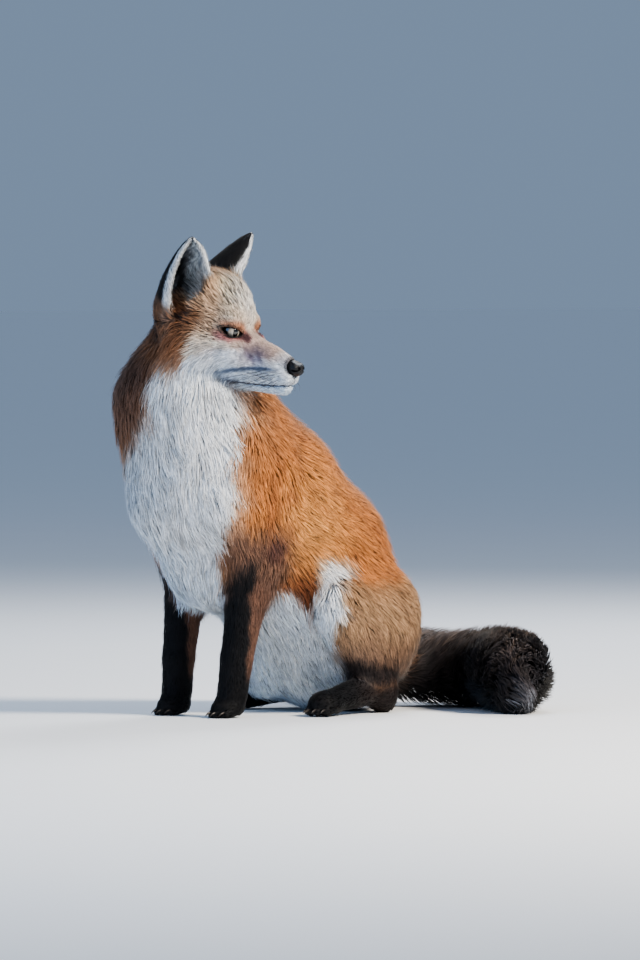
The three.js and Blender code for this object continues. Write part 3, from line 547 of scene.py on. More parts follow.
def mesh_skin():
    shape = (len(LX), len(LY), len(LZ))
    centres = [0.5 * (l[:-1:4] + l[4::4]) for l in (LX, LY, LZ)]
    half = [0.5 * (l[4::4] - l[:-1:4]) for l in (LX, LY, LZ)]
    cx, cy, cz = np.meshgrid(*centres, indexing="ij")
    reach = np.sqrt(sum(h * h for h in np.meshgrid(*half, indexing="ij")))
    f = in_chunks(lambda *a: skin_chunk(*a)[0], *(c.ravel().astype(np.float32) for c in (cx, cy, cz))).reshape(cx.shape)
    near = np.abs(f) < reach * 1.5 + 5
    big = np.repeat(np.repeat(np.repeat(near, 4, 0), 4, 1), 4, 2)
    sign = np.repeat(np.repeat(np.repeat(np.where(f < 0, -50, 50).astype(np.float32), 4, 0), 4, 1), 4, 2)
    F = np.pad(sign, ((0, 1),) * 3, mode="edge")
    need = np.zeros(shape, bool)
    for i in (0, 1):
        for j in (0, 1):
            for k in (0, 1):
                need[i : i + big.shape[0], j : j + big.shape[1], k : k + big.shape[2]] |= big
    # in the order of blocks, so that each chunk of points is small in space
    idx = np.nonzero(need)
    order = np.lexsort((idx[2] // 16, idx[1] // 16, idx[0] // 16))
    idx = tuple(q[order] for q in idx)
    note(f"field at {len(idx[0])} of {F.size} nodes")
    v = in_chunks(lambda *a: skin_chunk(*a)[0], LX[idx[0]], LY[idx[1]], LZ[idx[2]])
    F[idx] = np.where(np.abs(v) < 1e-4, 1e-4, v)
    pos, quads = surface_nets(F, (LX, LY, LZ))
    pos, quads = biggest_piece(pos, quads)
    note(f"skin net: {len(pos)} points, {len(quads)} quads")
    pos = project(pos)
    # ease the net along the surface, then hold it there again
    for _ in range(2):
        total, count = np.zeros_like(pos), np.zeros(len(pos))
        for k in range(4):
            a, b = quads[:, k], quads[:, (k + 1) % 4]
            for d in range(3):
                total[:, d] += np.bincount(a, pos[b, d], len(pos)) + np.bincount(b, pos[a, d], len(pos))
            count += np.bincount(a, minlength=len(pos)) + np.bincount(b, minlength=len(pos))
        pos = pos + 0.5 * (total / count[:, None] - pos)
    return project(pos, 1), quads


SKIN, QUADS = mesh_skin()
note("skin placed")
f_, g_, SKIN_DEPTH, SKIN_G = skin_here(SKIN)
SKIN_N = g_ / np.maximum(np.linalg.norm(g_, axis=1), 1e-6)[:, None]
note("skin normals")


# ------------------------------------------------------------------ noise
def waves(seed, n=7):
    r = np.random.default_rng(seed)
    k = r.normal(size=(n, 3))
    k *= (r.uniform(0.6, 1.6, n) / np.linalg.norm(k, axis=1))[:, None]
    return k, r.uniform(0, 2 * math.pi, n), r.uniform(0.6, 1, n)


def noise(x, y, z, scale, seed):
    """A smooth wandering value, about -1 to 1, whose features are about scale mm."""
    k, ph, am = waves(seed)
    out = 0
    for (a, b, c), p, m in zip(k * (2 * math.pi / (2.2 * scale)), ph, am):
        out = out + m * np.sin(a * x + b * y + c * z + p)
    return out / (am.sum() * 0.55)


# ------------------------------------------------------------------ the markings
def srgb(*c):
    return np.array(c, float) / 255


def lay(c, colour, m):
    """Lays a colour over c where the mask m is 1."""
    m = np.clip(m, 0, 1)[:, None]
    return c + (np.asarray(colour) - c) * m


def blob(x, y, z, at, r):
    return np.exp(-(((x - at[0]) / r[0]) ** 2) - (((y - at[1]) / r[1]) ** 2) - (((z - at[2]) / r[2]) ** 2))


ORANGE, GOLD, RUST, BACK = srgb(190, 121, 68), srgb(214, 152, 88), srgb(142, 78, 42), srgb(156, 116, 90)
# the cool blue-white in this row is a painted bluish shade colour for white fur
WHITE, SHADE_BLUE, CREAM = srgb(242, 243, 244), srgb(204, 219, 236), srgb(226, 212, 194)
# the deep brown in this row is a painted shade colour, for the lower flank
BLACK, TAN, SHADE_BROWN, PEACH = srgb(13, 12, 15), srgb(154, 126, 104), srgb(74, 40, 26), srgb(216, 172, 142)


def paint(x, y, z, N, G):
    """Colours of the coat's outer hair and of its underfur, as sRGB, at each point."""
    n = len(x)
    wob = noise(x, y, z, 16, 11)
    fine = noise(x, y, z, 5, 12)
    w = weights(G, 3.5)
    hf, hl, ht = head_coords(x, y, z)
    al, ax = np.abs(hl), np.abs(x)
    u = 0.643 * ax + 0.766 * y
    c = np.tile(ORANGE, (n, 1))
    # trunk: golden flank, a darker fold behind the shoulder, greyer back; rust along the lower flank, deeper towards
    # the bottom as painted shade; a painted shadow low behind the elbow, and painted shade in patches wherever the
    # surface does not face up
    c = lay(c, GOLD, 0.85 * blob(ax, y, z, (74, -80, 215), (60, 54, 64)))
    c = lay(c, RUST, 0.42 * blob(ax, y, z, (78, -140, 225), (40, 9, 55)))
    # rust towards the bottom of the flank is painted shade; the random rust patches are the hair's own
    c = lay(c, RUST, 0.5 * ramp(z, 176, 140) * ramp(y, 0, -50) + 0.22 * ramp(wob, 0.1, 1) + 0.12 * ramp(fine, 0.1, 1))
    c = lay(c, BACK, 0.85 * ramp(N[:, 1] * 0.75 + N[:, 2] * 0.6, 0.5, 1.0) * ramp(y, -150, -80))
    # painted shadow: a deep brown patch low on the flank behind the elbow
    c = lay(c, SHADE_BROWN, 0.92 * blob(ax, y, z, (74, -90, 136), (36, 32, 26)))
    # painted shade: deep brown patches on the sides and underside, none on top
    c = lay(c, SHADE_BROWN, 0.3 * ramp(noise(x, y, z, 9, 24), 0.2, 1.0) * ramp(N[:, 2], 0.9, 0.3))
    c = lay(c, TAN, 0.5 * ramp(z, 130, 70) * ramp(y, 10, 50))
    under = c * 0.42 + srgb(40, 30, 28) * 0.2
    # white bib; it turns towards the throat with the head, and its edges are peach
    zb = z - 22
    cx, cy = np.interp(zb, [250, 339, 400], [0, -12, 4]), np.interp(zb, [250, 339, 400], [-150, -180, -176])
    around = np.degrees(np.arctan2(N[:, 0] + (x - cx) / 70, -(N[:, 1] + (y - cy) / 70)))
    left = np.interp(zb, [150, 200, 235, 258, 285, 306, 329, 348, 400], [-110, -95, -88, -66, -18, -2, 12, 10, 18])
    right = np.interp(zb, [250, 300, 339, 400], [200, 190, 165, 165])
    edge = np.interp(z, [150, 190, 215, 245, 300, 400], [-101, -99, -98, -94, -92, -92]) + 5 * wob + 2.5 * fine
    turned = ramp(around, left - 8 + 6 * wob, left + 8 + 6 * wob) * ramp(around, right + 8, right - 8)
    legs = w[GI["front_leg_left"]] + w[GI["front_leg_right"]]
    off_legs = 1 - ramp(legs, 0.35, 0.7) * ramp(z, 205, 180)
    bib = ramp(u, edge + 5, edge - 7) * ramp(y, -96, -112) * turned * off_legs
    c = lay(c, PEACH, 0.65 * ramp(u, edge + 24, edge + 6) * ramp(y, -92, -106) * turned * off_legs * ramp(z, 170, 190))
    low_z = np.interp(u, [-60, -45, -30, -15, 0], [154, 148, 136, 124, 116]) + np.maximum(70 - ax, 0) * 0.35
    belly = ramp(z, low_z + 4 + 6 * wob, low_z - 9 + 6 * wob) * ramp(ax, 92, 76) * ramp(y, 24, -6) * (1 - legs)
    groin = ramp(N[:, 1], 0.15, -0.25) * ramp(z, 132, 112) * ramp(y, 45, 10) * w[GI["trunk"]]
    pale = np.maximum(np.maximum(bib, belly), groin)
    # painted shade: the white fur turns bluish on the fox's right side and towards the bottom
    shade = ramp(x, 30, -50) * 0.6 + ramp(z, 230, 150) * 0.6
    white = WHITE + (SHADE_BLUE - WHITE) * np.clip(shade, 0, 1)[:, None]
    c = lay(c, white * (1 - 0.14 * ramp(noise(x, y, z, 11, 25), 0.0, 1.0))[:, None], pale)
    # painted shade in the white coat's depths: blue-grey underfur
    under = lay(under, srgb(176, 190, 208), pale)
    # nape and far shoulder brown, the near side of the neck as the flank
    nape = np.clip(w[GI["neck"]] + w[GI["trunk"]] * ramp(z, 285, 330), 0, 1) * (1 - bib)
    near = ramp(around, 25, 45) * ramp(around, 165, 140)
    brown = mix(srgb(110, 80, 64), srgb(142, 102, 78), ramp(z, 380, 300)[:, None])
    c = lay(c, brown, nape * (1 - 0.85 * near))
    under = lay(under, srgb(66, 48, 42), nape * (1 - 0.6 * near))
    # haunches: tan hair over a dark ground, a white strip down the knee
    for s, sx in (("left", 1), ("right", -1)):
        back = 0 if sx > 0 else HIND_FEET["stagger"] * 0.6
        m = w[GI["thigh_" + s]]
        uu = 0.643 * ax + 0.766 * (y - back)
        c = lay(c, mix(srgb(170, 139, 108), ORANGE, 0.05 + 0.4 * ramp(z, 120, 170)[:, None]), m * 0.92)
        c = lay(c, srgb(104, 76, 58), m * 0.36 * ramp(fine + 0.5 * wob, 0.0, 0.9))
        under = lay(under, mix(srgb(62, 44, 38), srgb(116, 92, 76), ramp(z, 112, 134)[:, None]), m)
        c = lay(c, srgb(94, 72, 62), m * 0.7 * ramp(z, 112, 60))
        # the inner side of the thigh is white fur, laid in the painted bluish shade colour
        inner = m * ramp(N[:, 0] * sx, 0.1, -0.3)
        c = lay(c, SHADE_BLUE, inner)
        bound = np.interp(z, [38, 62, 86, 122, 158, 180], [6, 10, 11, 21, 24, 24]) + 4 * wob + 2.5 * fine
        strip = ramp(uu, bound + 4, bound - 4) * ramp(z, 182 + 4 * fine, 168 + 4 * fine) * ramp(ax, 40, 55)
        strip = strip * np.maximum(m, w[GI["trunk"]] * ramp(uu, -14, -4) * ramp(ax, 56, 68))
        # the white knee strip turns bluish towards the bottom as painted shade, over underfur in a painted blue-grey
        # shade
        c = lay(c, mix(WHITE, SHADE_BLUE, ramp(z, 150, 80)[:, None]), strip * ramp(sx * x, 0, 10))
        under = lay(under, srgb(176, 186, 202), strip * ramp(sx * x, 0, 10))
        foot = w[GI["hind_foot_" + s]]
        hock = np.maximum(m * np.maximum(ramp(z + 0.15 * (y - back), 76 + 6 * wob, 56 + 6 * wob) * ramp(uu, 16, 28), ramp(z, 56, 42) * ramp(uu, 10, 20)), foot * 0.97)
        c = lay(c, srgb(34, 27, 27), hock)
        c = lay(c, BLACK, foot * ramp(y - back, 0, -30))
        under = lay(under, srgb(20, 16, 17), hock)
        # front legs: black stockings, tan down the back of the limb, brownish elbow
        y0_ = FRONT_FEET["y"] + sx * FRONT_FEET["stagger"] / 2
        m = w[GI["front_leg_" + s]]
        c = lay(c, mix(srgb(132, 98, 78), srgb(92, 66, 54), ramp(fine, -0.3, 0.7)[:, None]), m * ramp(z, 228, 198) * (1 - 0.85 * bib))
        under = lay(under, srgb(54, 40, 36), m * ramp(z, 226, 196))
        dark = m * ramp(z + 6 * wob + 3 * fine - 0.55 * (y - y0_), 188, 162)
        rear = ramp(y - y0_ + 0.35 * N[:, 1] * 10 + 3 * wob + (0 if sx > 0 else 4), 3, 12) * ramp(z, 34, 60)
        c = lay(c, BLACK, dark * (1 - 0.93 * rear))
        c = lay(c, srgb(106, 76, 62), m * rear * ramp(z, 172, 150) * 0.85)
        # painted shadow: a thin dark band in the crease behind the elbow, where the leg meets the body
        c = lay(c, srgb(48, 26, 28), 0.75 * blob(ax, y, z, (76, y0_ + 30, 192), (30, 8, 9)))
        under = lay(under, srgb(18, 15, 17), dark)
        c = lay(c, BLACK, m * ramp(z, 46, 26))
    # painted shade: the trunk darker near the floor under the rump
    c = lay(c, srgb(56, 43, 39), w[GI["trunk"]] * ramp(z, 66, 44) * ramp(y, 0, 30))
    # tail: near-black; its upper side tipped with grey-brown, partly grizzled hair and partly a painted highlight on
    # the lit top; its underside darker towards the floor as painted shade; only the very end pale
    m = w[GI["tail_base"]] + w[GI["tail_tip"]]
    tip = TAIL_LINE[-1][0]
    end = ramp(np.sqrt((x - tip[0] - 12) ** 2 + (y - tip[1]) ** 2 + (z - 16) ** 2) + 7 * wob + 3 * fine, 40, 24) * 0.75
    upper = ramp(z, 44, 74)
    c = lay(c, mix(srgb(44, 37, 38), srgb(24, 20, 23), ramp(wob, -0.6, 0.6)[:, None]), m)
    # grey-brown tips on the tail's upper side: partly grizzled hair, partly a painted highlight on the lit top
    c = lay(c, mix(srgb(122, 106, 94), srgb(66, 56, 54), ramp(fine, -0.5, 0.6)[:, None]), m * upper * 0.85)
    c = lay(c, srgb(120, 88, 66), m * ramp(y, 150, 118) * ramp(z, 60, 84) * 0.7)
    # painted shade: the tail near-black towards the floor
    c = lay(c, srgb(18, 15, 18), m * ramp(z, 42, 14) * 0.8)
    under = lay(under, srgb(21, 18, 20), m)
    c = lay(c, srgb(186, 192, 202), m * end)
    under = lay(under, srgb(92, 96, 106), m * end)
    # ---- head
    m = w[GI["head"]]
    h = np.tile(CREAM, (n, 1))
    h = lay(h, srgb(178, 140, 106), 0.9 * ramp(hf, -6, -30) * ramp(ht, 16, 36) + 0.35 * ramp(wob, -0.1, 0.9) * ramp(ht, 0, 20))
    h = lay(h, srgb(146, 108, 82), 0.75 * ramp(hf, -32, -52) * ramp(ht, 22, 40))
    h = lay(h, srgb(234, 230, 228), 0.8 * blob(hf, al, ht, (2, 0, 20), (15, 12, 24)))
    h = lay(h, srgb(222, 200, 164), 0.6 * blob(hf, al, ht, (-16, 20, 32), (14, 12, 16)))
    h = lay(h, srgb(196, 158, 126), ramp(al, 15, 26) * ramp(hf, 4, -16) * ramp(ht, -20, -2) * 0.85)
    h = lay(h, srgb(190, 164, 150), ramp(hf, 4, 26) * ramp(ht, -27, -15))
    h = lay(h, srgb(206, 200, 200), ramp(hf, 52, 66) * ramp(ht, -32, -22))
    h = h * (1 - 0.34 * ramp(noise(x, y, z, 3.2, 23), 0.1, 0.9) * ramp(hf, 8, -10) * ramp(ht, -14, 0))[:, None]
    h = lay(h, srgb(150, 98, 64), ramp(hf, -19 + 3 * wob, -31 + 3 * wob) * ramp(ht, 24, 8) * ramp(al, 18, 32))
    h = lay(h, srgb(106, 76, 58), ramp(hf, -44, -62) * ramp(ht, 40, 5) * ramp(al, 0, 30) * 0.9)
    h = lay(h, srgb(146, 102, 74), ramp(hf, -54, -76) * ramp(al, 34, 20))
    line = np.interp(hf, [-45, -28, -8, 18, 50, 74], [-50, -38, -18, -16.5, -21, -27]) + 2.2 * wob + 1.2 * fine
    low = ramp(ht, line + 3, line - 4) * ramp(hf, -38 + 4 * wob, -27 + 4 * wob)
    low = np.maximum(low, ramp(ht, -36, -48) * ramp(hf, -58 + 5 * wob, -44 + 5 * wob) * ramp(al, 46, 32))
    low = np.maximum(low, ramp(ht, -50, -58) * ramp(hf, -84, -70) * ramp(al, 34, 24))
    # painted shade: the face's white turns bluish towards the chin, and its underfur is a painted blue-grey shade
    white = mix(WHITE, SHADE_BLUE, ramp(ht, -24, -54)[:, None])
    h = lay(h, white, low)
    hu = h * 0.5 + srgb(44, 36, 36) * 0.18
    hu = lay(hu, srgb(168, 180, 196), low)
    # grey-violet patch on the side of the muzzle; painted violet-grey shade on the cheek; and a painted shadow, a dark
    # blue line back from the whiskers above the mouth
    h = lay(h, srgb(88, 78, 98), (0.95 - 0.3 * ramp(fine, -0.4, 0.6)) * blob(hf, al, ht, (32, 15, -21), (18, 14, 9)))
    # painted shade: violet-grey on the cheek behind the eye
    h = lay(h, srgb(142, 128, 142), 0.5 * blob(hf, al, ht, (-8, 30, -20), (15, 14, 5)))
    # painted shadow: a dark blue line back from the whiskers above the mouth
    streak = ht - np.interp(hf, [-16, -4, 26, 50, 74], [-52, -43, -35, -31, -28])
    h = lay(h, srgb(44, 58, 84), 0.78 * np.exp(-((streak / 2.2) ** 2)) * ramp(hf, -16, 0) * ramp(hf, 70, 50) * ramp(al, 5, 9))
    rows = np.sin((ht + 0.12 * hf + 30) * 1.25) * 0.5 + 0.5
    h = lay(h, srgb(54, 64, 82), 0.6 * rows**4 * blob(hf, al, ht, (40, 14, -38), (22, 12, 7)))
    # painted shade: a dark blue smudge at the corner of the mouth
    h = lay(h, srgb(52, 62, 84), 0.62 * blob(hf, al, ht, (9, 24, -48), (13, 10, 4.5)))
    for e in EYE_AT:
        dx, dy, dz = x - e[0], y - e[1], z - e[2]
        ef, el, et = (dx * q[0] + dy * q[1] + dz * q[2] for q in (HF, HL, HT))
        r = np.sqrt((ef / 1.25) ** 2 + (el / 1.1) ** 2 + (et + 1.2) ** 2)
        h = lay(h, mix(srgb(164, 102, 98), srgb(180, 124, 94), ramp(et, -5, 3)[:, None]), 0.9 * ramp(r + 1.4 * wob + 0.8 * fine, 17.5 + 2.5 * ramp(et, 2, -4), 11.5 + 2 * ramp(et, 2, -4)) * np.where(et > 0, ramp(al, 8, 14), 1))
        h = lay(h, srgb(124, 78, 58), 0.45 * np.exp(-(((et - 7 + 0.25 * ef) / 2.2) ** 2)) * ramp(r, 17, 12) * ramp(fine, -0.6, 0.4))
    tear = np.sqrt(((hf - 20.5) / 6) ** 2 + ((ht + 5.9 + 0.35 * (hf - 20.5)) / 3.8) ** 2)
    h = lay(h, srgb(64, 33, 38), 0.88 * ramp(tear, 1.2, 0.55) * ramp(al, 4, 9))
    for e, (out, uu, vv) in zip(EYE_AT, EYE_FRAMES):
        dx, dy, dz = x - e[0], y - e[1], z - e[2]
        o, a, b = (dx * q[0] + dy * q[1] + dz * q[2] for q in (out, uu, vv))
        h = lay(h, srgb(15, 11, 12), ramp(opening(a, b), 1.7 + 0.5 * ramp(b, 0, 3), 1.0) * ramp(o, 0, 4))
    # lips, and the skin round the nose
    lip = np.abs(ht - LIP(hf))
    h = lay(h, srgb(24, 25, 34), 0.9 * ramp(lip, 1.8, 0.7) * ramp(hf, 0, 9))
    n0 = NOSE["at"]
    q = np.sqrt(((hf - n0[0]) / 9.5) ** 2 + (hl / 10.5) ** 2 + ((ht - n0[2]) / 9) ** 2)
    h = lay(h, srgb(16, 15, 19), ramp(q, 1.24, 1.1))
    h = lay(h, srgb(16, 15, 19), ramp(al, 1.9, 0.9) * ramp(hf, 72, 76) * ramp(ht, -46, -42))
    c = lay(c, h, m)
    under = under * (1 - m[:, None]) + hu * m[:, None]
    # ---- ears: black behind with a pale front edge, grey-white hair within, a dark strip in the shell
    c = lay(c, mix(srgb(104, 78, 62), srgb(200, 180, 154), ramp(hf, -48, -36)[:, None]), w[EAR_I] * ramp(G[EAR_I], 9, 4))
    under = lay(under, srgb(60, 48, 42), w[EAR_I] * ramp(G[EAR_I], 9, 4))
    for e in EARS:
        hh, a, o = e.coords(x, y, z)
        t, wrap, r, half = e.section(hh)
        oc = r * np.cos(wrap) + e.rim
        turn = np.arctan2(np.abs(a), oc - o) / wrap * np.sign(a) * e.side  # -1 at the front edge, 1 at the rear
        within = np.where(np.hypot(a, o - oc) < r, 1.0, 0.0)
        close = ramp(G[EAR_I], 9, 3) * np.where(hl * e.side > 0, 1.0, 0.0) * ramp(ht, 4, 16)
        tone = mix(srgb(202, 212, 220), srgb(112, 122, 134), ramp(noise(x, y, z, 3.2, 21), -0.5, 0.6)[:, None])
        strip = turn - np.interp(hh / e.L, [0.05, 0.25, 0.5, 0.85], [-0.38, -0.2, 0.05, -0.15])
        inner = lay(tone, srgb(15, 15, 21), 0.96 * np.exp(-((strip / 0.26) ** 2)) * mix(0.35, 1.0, ramp(t, 0.85, 0.5)))
        inner = lay(inner, srgb(232, 234, 236), np.maximum(ramp(turn, 0.62, 0.78), ramp(t, 0.10, 0.0) * ramp(turn, 0.1, 0.5)))
        c = lay(c, inner, close * within)
        under = lay(under, inner * 0.55, close * within)
        behind = close * (1 - within)
        c = lay(c, srgb(12, 11, 15), behind * ramp(t, 0.08 + 0.04 * wob, 0.22 + 0.04 * wob))
        under = lay(under, srgb(10, 9, 12), behind * ramp(t, 0.08, 0.2))
        edge = np.maximum(ramp(-turn, 0.84, 0.93), ramp(turn, 0.9, 0.98)) * ramp(t, -0.05, 0.08)
        c = lay(c, srgb(228, 230, 232), close * edge)
    return np.clip(c, 0, 1), np.clip(under, 0, 1)


def linear(c):
    c = np.clip(c, 0, 1)
    return np.where(c <= 0.04045, c / 12.92, ((c + 0.055) / 1.055) ** 2.4)


# ------------------------------------------------------------------ the lie of the hair
TAIL_MID = np.array([(TAIL_LINE[i][0] + TAIL_LINE[i + 1][0]) / 2 for i in range(TAIL["steps"])])
TAIL_WAY = np.array([unit(TAIL_LINE[i + 1][0] - TAIL_LINE[i][0]) for i in range(TAIL["steps"])])


def flow(x, y, z, N, G):
    """The way the hair lies, before it is laid along the surface."""
    w = weights(G, 8)
    n = len(x)
    out = np.zeros((n, 3))
    slope = lambda deg: np.stack([np.zeros(n), np.cos(np.radians(deg)), -np.sin(np.radians(deg))], 1)
    sx = np.sign(x)
    deg = 30 + 52 * ramp(y, -104, -152) + 26 * ramp(z, 190, 120) + 18 * ramp(y, 0, 50)
    knee = 0.95 * np.exp(-(((np.abs(x) - 72) / 26) ** 2) - ((y + 26) / 30) ** 2 - ((z - 152) / 30) ** 2)
    t = slope(mix(np.minimum(deg, 88), 86.0, knee))
    chest = ramp(y, -160, -200)
    t[:, 0] += 0.28 * chest
    out += t * w[GI["trunk"]][:, None]
    t = slope(84 - 30 * ramp(y, -170, -130))
    t[:, 0] += 0.18 * ramp(y, -170, -200)
    out += t * w[GI["neck"]][:, None]
    u = 0.643 * np.abs(x) + 0.766 * y
    for s, sg in (("left", 1), ("right", -1)):
        y0 = FRONT_FEET["y"] + sg * FRONT_FEET["stagger"] / 2
        t = slope(88 - 6 * ramp(z, 150, 200))
        low = ramp(z, 30, 14)[:, None]
        t = t * (1 - low) + np.array([0, -1, -0.35]) * low
        out += t * w[GI["front_leg_" + s]][:, None]
        back = 0 if sg > 0 else HIND_FEET["stagger"] * 0.6
        deg = 44 + 32 * ramp(u - 0.766 * back, 56, 10) * ramp(z, 176, 120) + 26 * ramp(z, 110, 60) + 14 * ramp(y - back, 40, 80)
        out += slope(mix(deg, 86.0, knee)) * w[GI["thigh_" + s]][:, None]
        a = rad(HIND_FEET["splay"])
        low = ramp(z, 44, 26)[:, None]
        t = slope(np.full(n, 88.0)) * (1 - low) + np.array([sg * math.sin(a), -math.cos(a), -0.12]) * low
        out += t * w[GI["hind_foot_" + s]][:, None]
    P = np.stack([x, y, z], 1)
    k = np.exp(-((P[:, None, :] - TAIL_MID[None]) ** 2).sum(2) / (2 * 22.0**2)) + 1e-9
    t = (k @ TAIL_WAY) / k.sum(1)[:, None]
    end = ramp((t / np.linalg.norm(t, axis=1)[:, None] * N).sum(1), 0.35, 0.75)[:, None]
    t = t + N * 0.25 + np.array([0, 0, 0.75]) * (1 - end) + np.array([0.64, 0.77, -0.5]) * 1.2 * end
    out += t * (w[GI["tail_base"]] + w[GI["tail_tip"]])[:, None]
    # head: back from the nose, down over the cheeks, away from the eyes
    hf, hl, ht = head_coords(x, y, z)
    al, sl = np.abs(hl), np.sign(hl)
    cheek = ramp(hf, 20, -20) * ramp(ht, 4, -30)
    ruff = ramp(hf, -20, -50) * ramp(ht, 20, -20)
    vf = -1 + 0.35 * ruff
    vt = 0.45 * ramp(ht, -8, 12) - 0.55 * cheek - 0.9 * ruff
    vl = 0.35 * sl * cheek + 0.25 * sl * ruff
    t = vf[:, None] * HF + vl[:, None] * HL + vt[:, None] * HT
    for e in EYE_AT:
        v = P - e
        r = np.linalg.norm(v, axis=1)
        t += v / np.maximum(r, 1)[:, None] * (1.1 * np.exp(-((r / 17) ** 2)))[:, None]
    out += t * w[GI["head"]][:, None]
    for e in EARS:
        hh, a, o = e.coords(x, y, z)
        m = w[EAR_I] * (hl * e.side > 0)
        tt, wrap, r, half = e.section(hh)
        within = np.hypot(a, o - r * np.cos(wrap) - e.rim) < r
        t = np.tile(e.axis, (n, 1)) + e.across * (np.where(within, 0.55, 0.25) * np.sign(a))[:, None]
        t = t + e.open * np.where(within, 0.25, 0.0)[:, None]
        out += t * m[:, None]
    return out


def along(v, N):
    v = v - N * (v * N).sum(1)[:, None]
    return v / np.maximum(np.linalg.norm(v, axis=1), 1e-6)[:, None]


# ------------------------------------------------------------------ what the hair is like in each place
def coat(x, y, z, G, depth):
    """Length, width (mm), tufts per square millimetre, how much the tufts gather in locks, and how they stand."""
    w = weights(G, 5)
    hf, hl, ht = head_coords(x, y, z)
    al = np.abs(hl)
    L, W, D, C, S = (np.zeros(len(x)) for _ in range(5))

    def put(m, length, width, density, clump, stand):
        for A, v in zip((L, W, D, C, S), (length, width, density, clump, stand)):
            A += m * v

    back = ramp(hf, 12, -34)
    ruff = ramp(hf, -18, -48) * ramp(ht, 22, -14)
    chin = ramp(ht, -40, -52)
    crown = ramp(ht, 12, 30) * ramp(hf, 16, -4)
    length = 4.3 + 4.2 * ramp(hf, 40, 0) + 4 * back + 13 * ruff + 4 * chin * back + 6 * crown * (1 - ruff)
    put(w[GI["head"]], length, 0.44 + 0.026 * length, 1.75 - 1.15 * np.maximum(ruff, 0.62 * np.maximum(back, crown)), 0.25 + 0.3 * ruff + 0.2 * crown, 1)
    put(w[GI["neck"]], 36, 1.25, 0.37, 0.6, 1)
    chest = ramp(y, -140, -185)
    put(w[GI["trunk"]], 27 + 13 * chest, 1.02 + 0.16 * chest, 0.52 - 0.14 * chest, 0.4 + 0.38 * chest, 1)
    for s in ("left", "right"):
        up = ramp(z, 110, 190)
        put(w[GI["front_leg_" + s]], 6 + 4 * ramp(z, 24, 60) + 13 * up, 0.85 + 0.6 * up, 0.72 - 0.4 * up, 0.3, 1)
        up = ramp(z, 50, 90)
        put(w[GI["thigh_" + s]], 14 + 9 * up, 0.95 + 0.1 * up, 0.58 - 0.05 * up, 0.5, 1.1)
        put(w[GI["hind_foot_" + s]], 7 + 4 * ramp(z, 20, 44), 0.9, 0.6, 0.3, 1)
    put(w[GI["tail_base"]], 33, 1.4, 0.25, 0.65, 1.05)
    put(w[GI["tail_tip"]], 36, 1.4, 0.27, 0.65, 1.1)
    put(w[EAR_I], 7.5, 0.62, 1.0, 0.2, 1)
    for e in EARS:  # the hair inside the shell is longer towards its front edge
        hh, a, o = e.coords(x, y, z)
        t, wrap, r, half = e.section(hh)
        turn = np.arctan2(np.abs(a), r * np.cos(wrap) + e.rim - o) / wrap * np.sign(a) * e.side
        near = w[EAR_I] * (hl * e.side > 0)
        L += near * 6 * ramp(-turn, 0.2, 0.7) * ramp(t, 0.9, 0.6)
    for e in EYE_AT:
        r = np.sqrt((x - e[0]) ** 2 + (y - e[1]) ** 2 + (z - e[2]) ** 2)
        m = ramp(r, 24, 12)
        L[:] = L * (1 - m) + 4.0 * m
        W[:] = W * (1 - m) + 0.5 * m
        D[:] = D * (1 - m) + 2.1 * m
    return L, W, D, C, S


# ------------------------------------------------------------------ roots, spread over the skin
rng = np.random.default_rng(7)
TRIS = np.concatenate([QUADS[:, [0, 1, 2]], QUADS[:, [0, 2, 3]]])
TRIS = TRIS[np.argsort(np.minimum(np.arange(len(TRIS)), np.arange(len(TRIS)) % len(QUADS)), kind="stable")]
centre = SKIN[TRIS].mean(1)
area = 0.5 * np.linalg.norm(cross(SKIN[TRIS[:, 1]] - SKIN[TRIS[:, 0]], SKIN[TRIS[:, 2]] - SKIN[TRIS[:, 0]]), axis=1)
tri_G = SKIN_G[:, TRIS].mean(2)
tri_depth = SKIN_DEPTH[TRIS].mean(1)
L_, W_, D_, C_, S_ = coat(*split(centre), tri_G, tri_depth)
note("skin area by group, square cm: " + ", ".join(f"{g} {area[tri_G.argmin(0) == i].sum() / 100:.0f}" for i, g in enumerate(GROUPS + ['ears'])))
AMOUNT = 0.93
need = np.cumsum(area * D_ * AMOUNT)
picks = np.arange(0.5, need[-1], 1.0) + rng.uniform(-0.5, 0.5, len(np.arange(0.5, need[-1], 1.0)))
tri = np.clip(np.searchsorted(need, picks), 0, len(TRIS) - 1)
r1, r2 = np.sqrt(rng.random(len(tri))), rng.random(len(tri))
bary = np.stack([1 - r1, r1 * (1 - r2), r1 * r2], 1)
corner = TRIS[tri]
ROOT = (SKIN[corner] * bary[:, :, None]).sum(1)
NORM = (SKIN_N[corner] * bary[:, :, None]).sum(1)
NORM /= np.linalg.norm(NORM, axis=1)[:, None]
ROOT_G = (SKIN_G[:, corner] * bary[None]).sum(2)
ROOT_DEPTH = (SKIN_DEPTH[corner] * bary).sum(1)
hf, hl, ht = head_coords(*ROOT.T)
drop = np.zeros(len(ROOT), bool)
for e, (out, uu, vv) in zip(EYE_AT, EYE_FRAMES):
    v = ROOT - e
    r = np.linalg.norm(v, axis=1)
    drop |= (r < EYE["r"] + 0.5) | ((opening(v @ uu, v @ vv) < 0.7) & (v @ out > 4) & (r < 15))
q = np.sqrt(((hf - NOSE["at"][0]) / 9.5) ** 2 + (hl / 10.5) ** 2 + ((ht - NOSE["at"][2]) / 9) ** 2)
drop |= q < 1.05
drop |= (ROOT[:, 2] < 0.6) | ((ROOT[:, 2] < 5) & (NORM[:, 2] < -0.55))
drop |= (np.abs(ht - LIP(hf)) < 0.7) & (hf > 4) & (ROOT_G.argmin(0) == GI["head"])
keep = ~drop
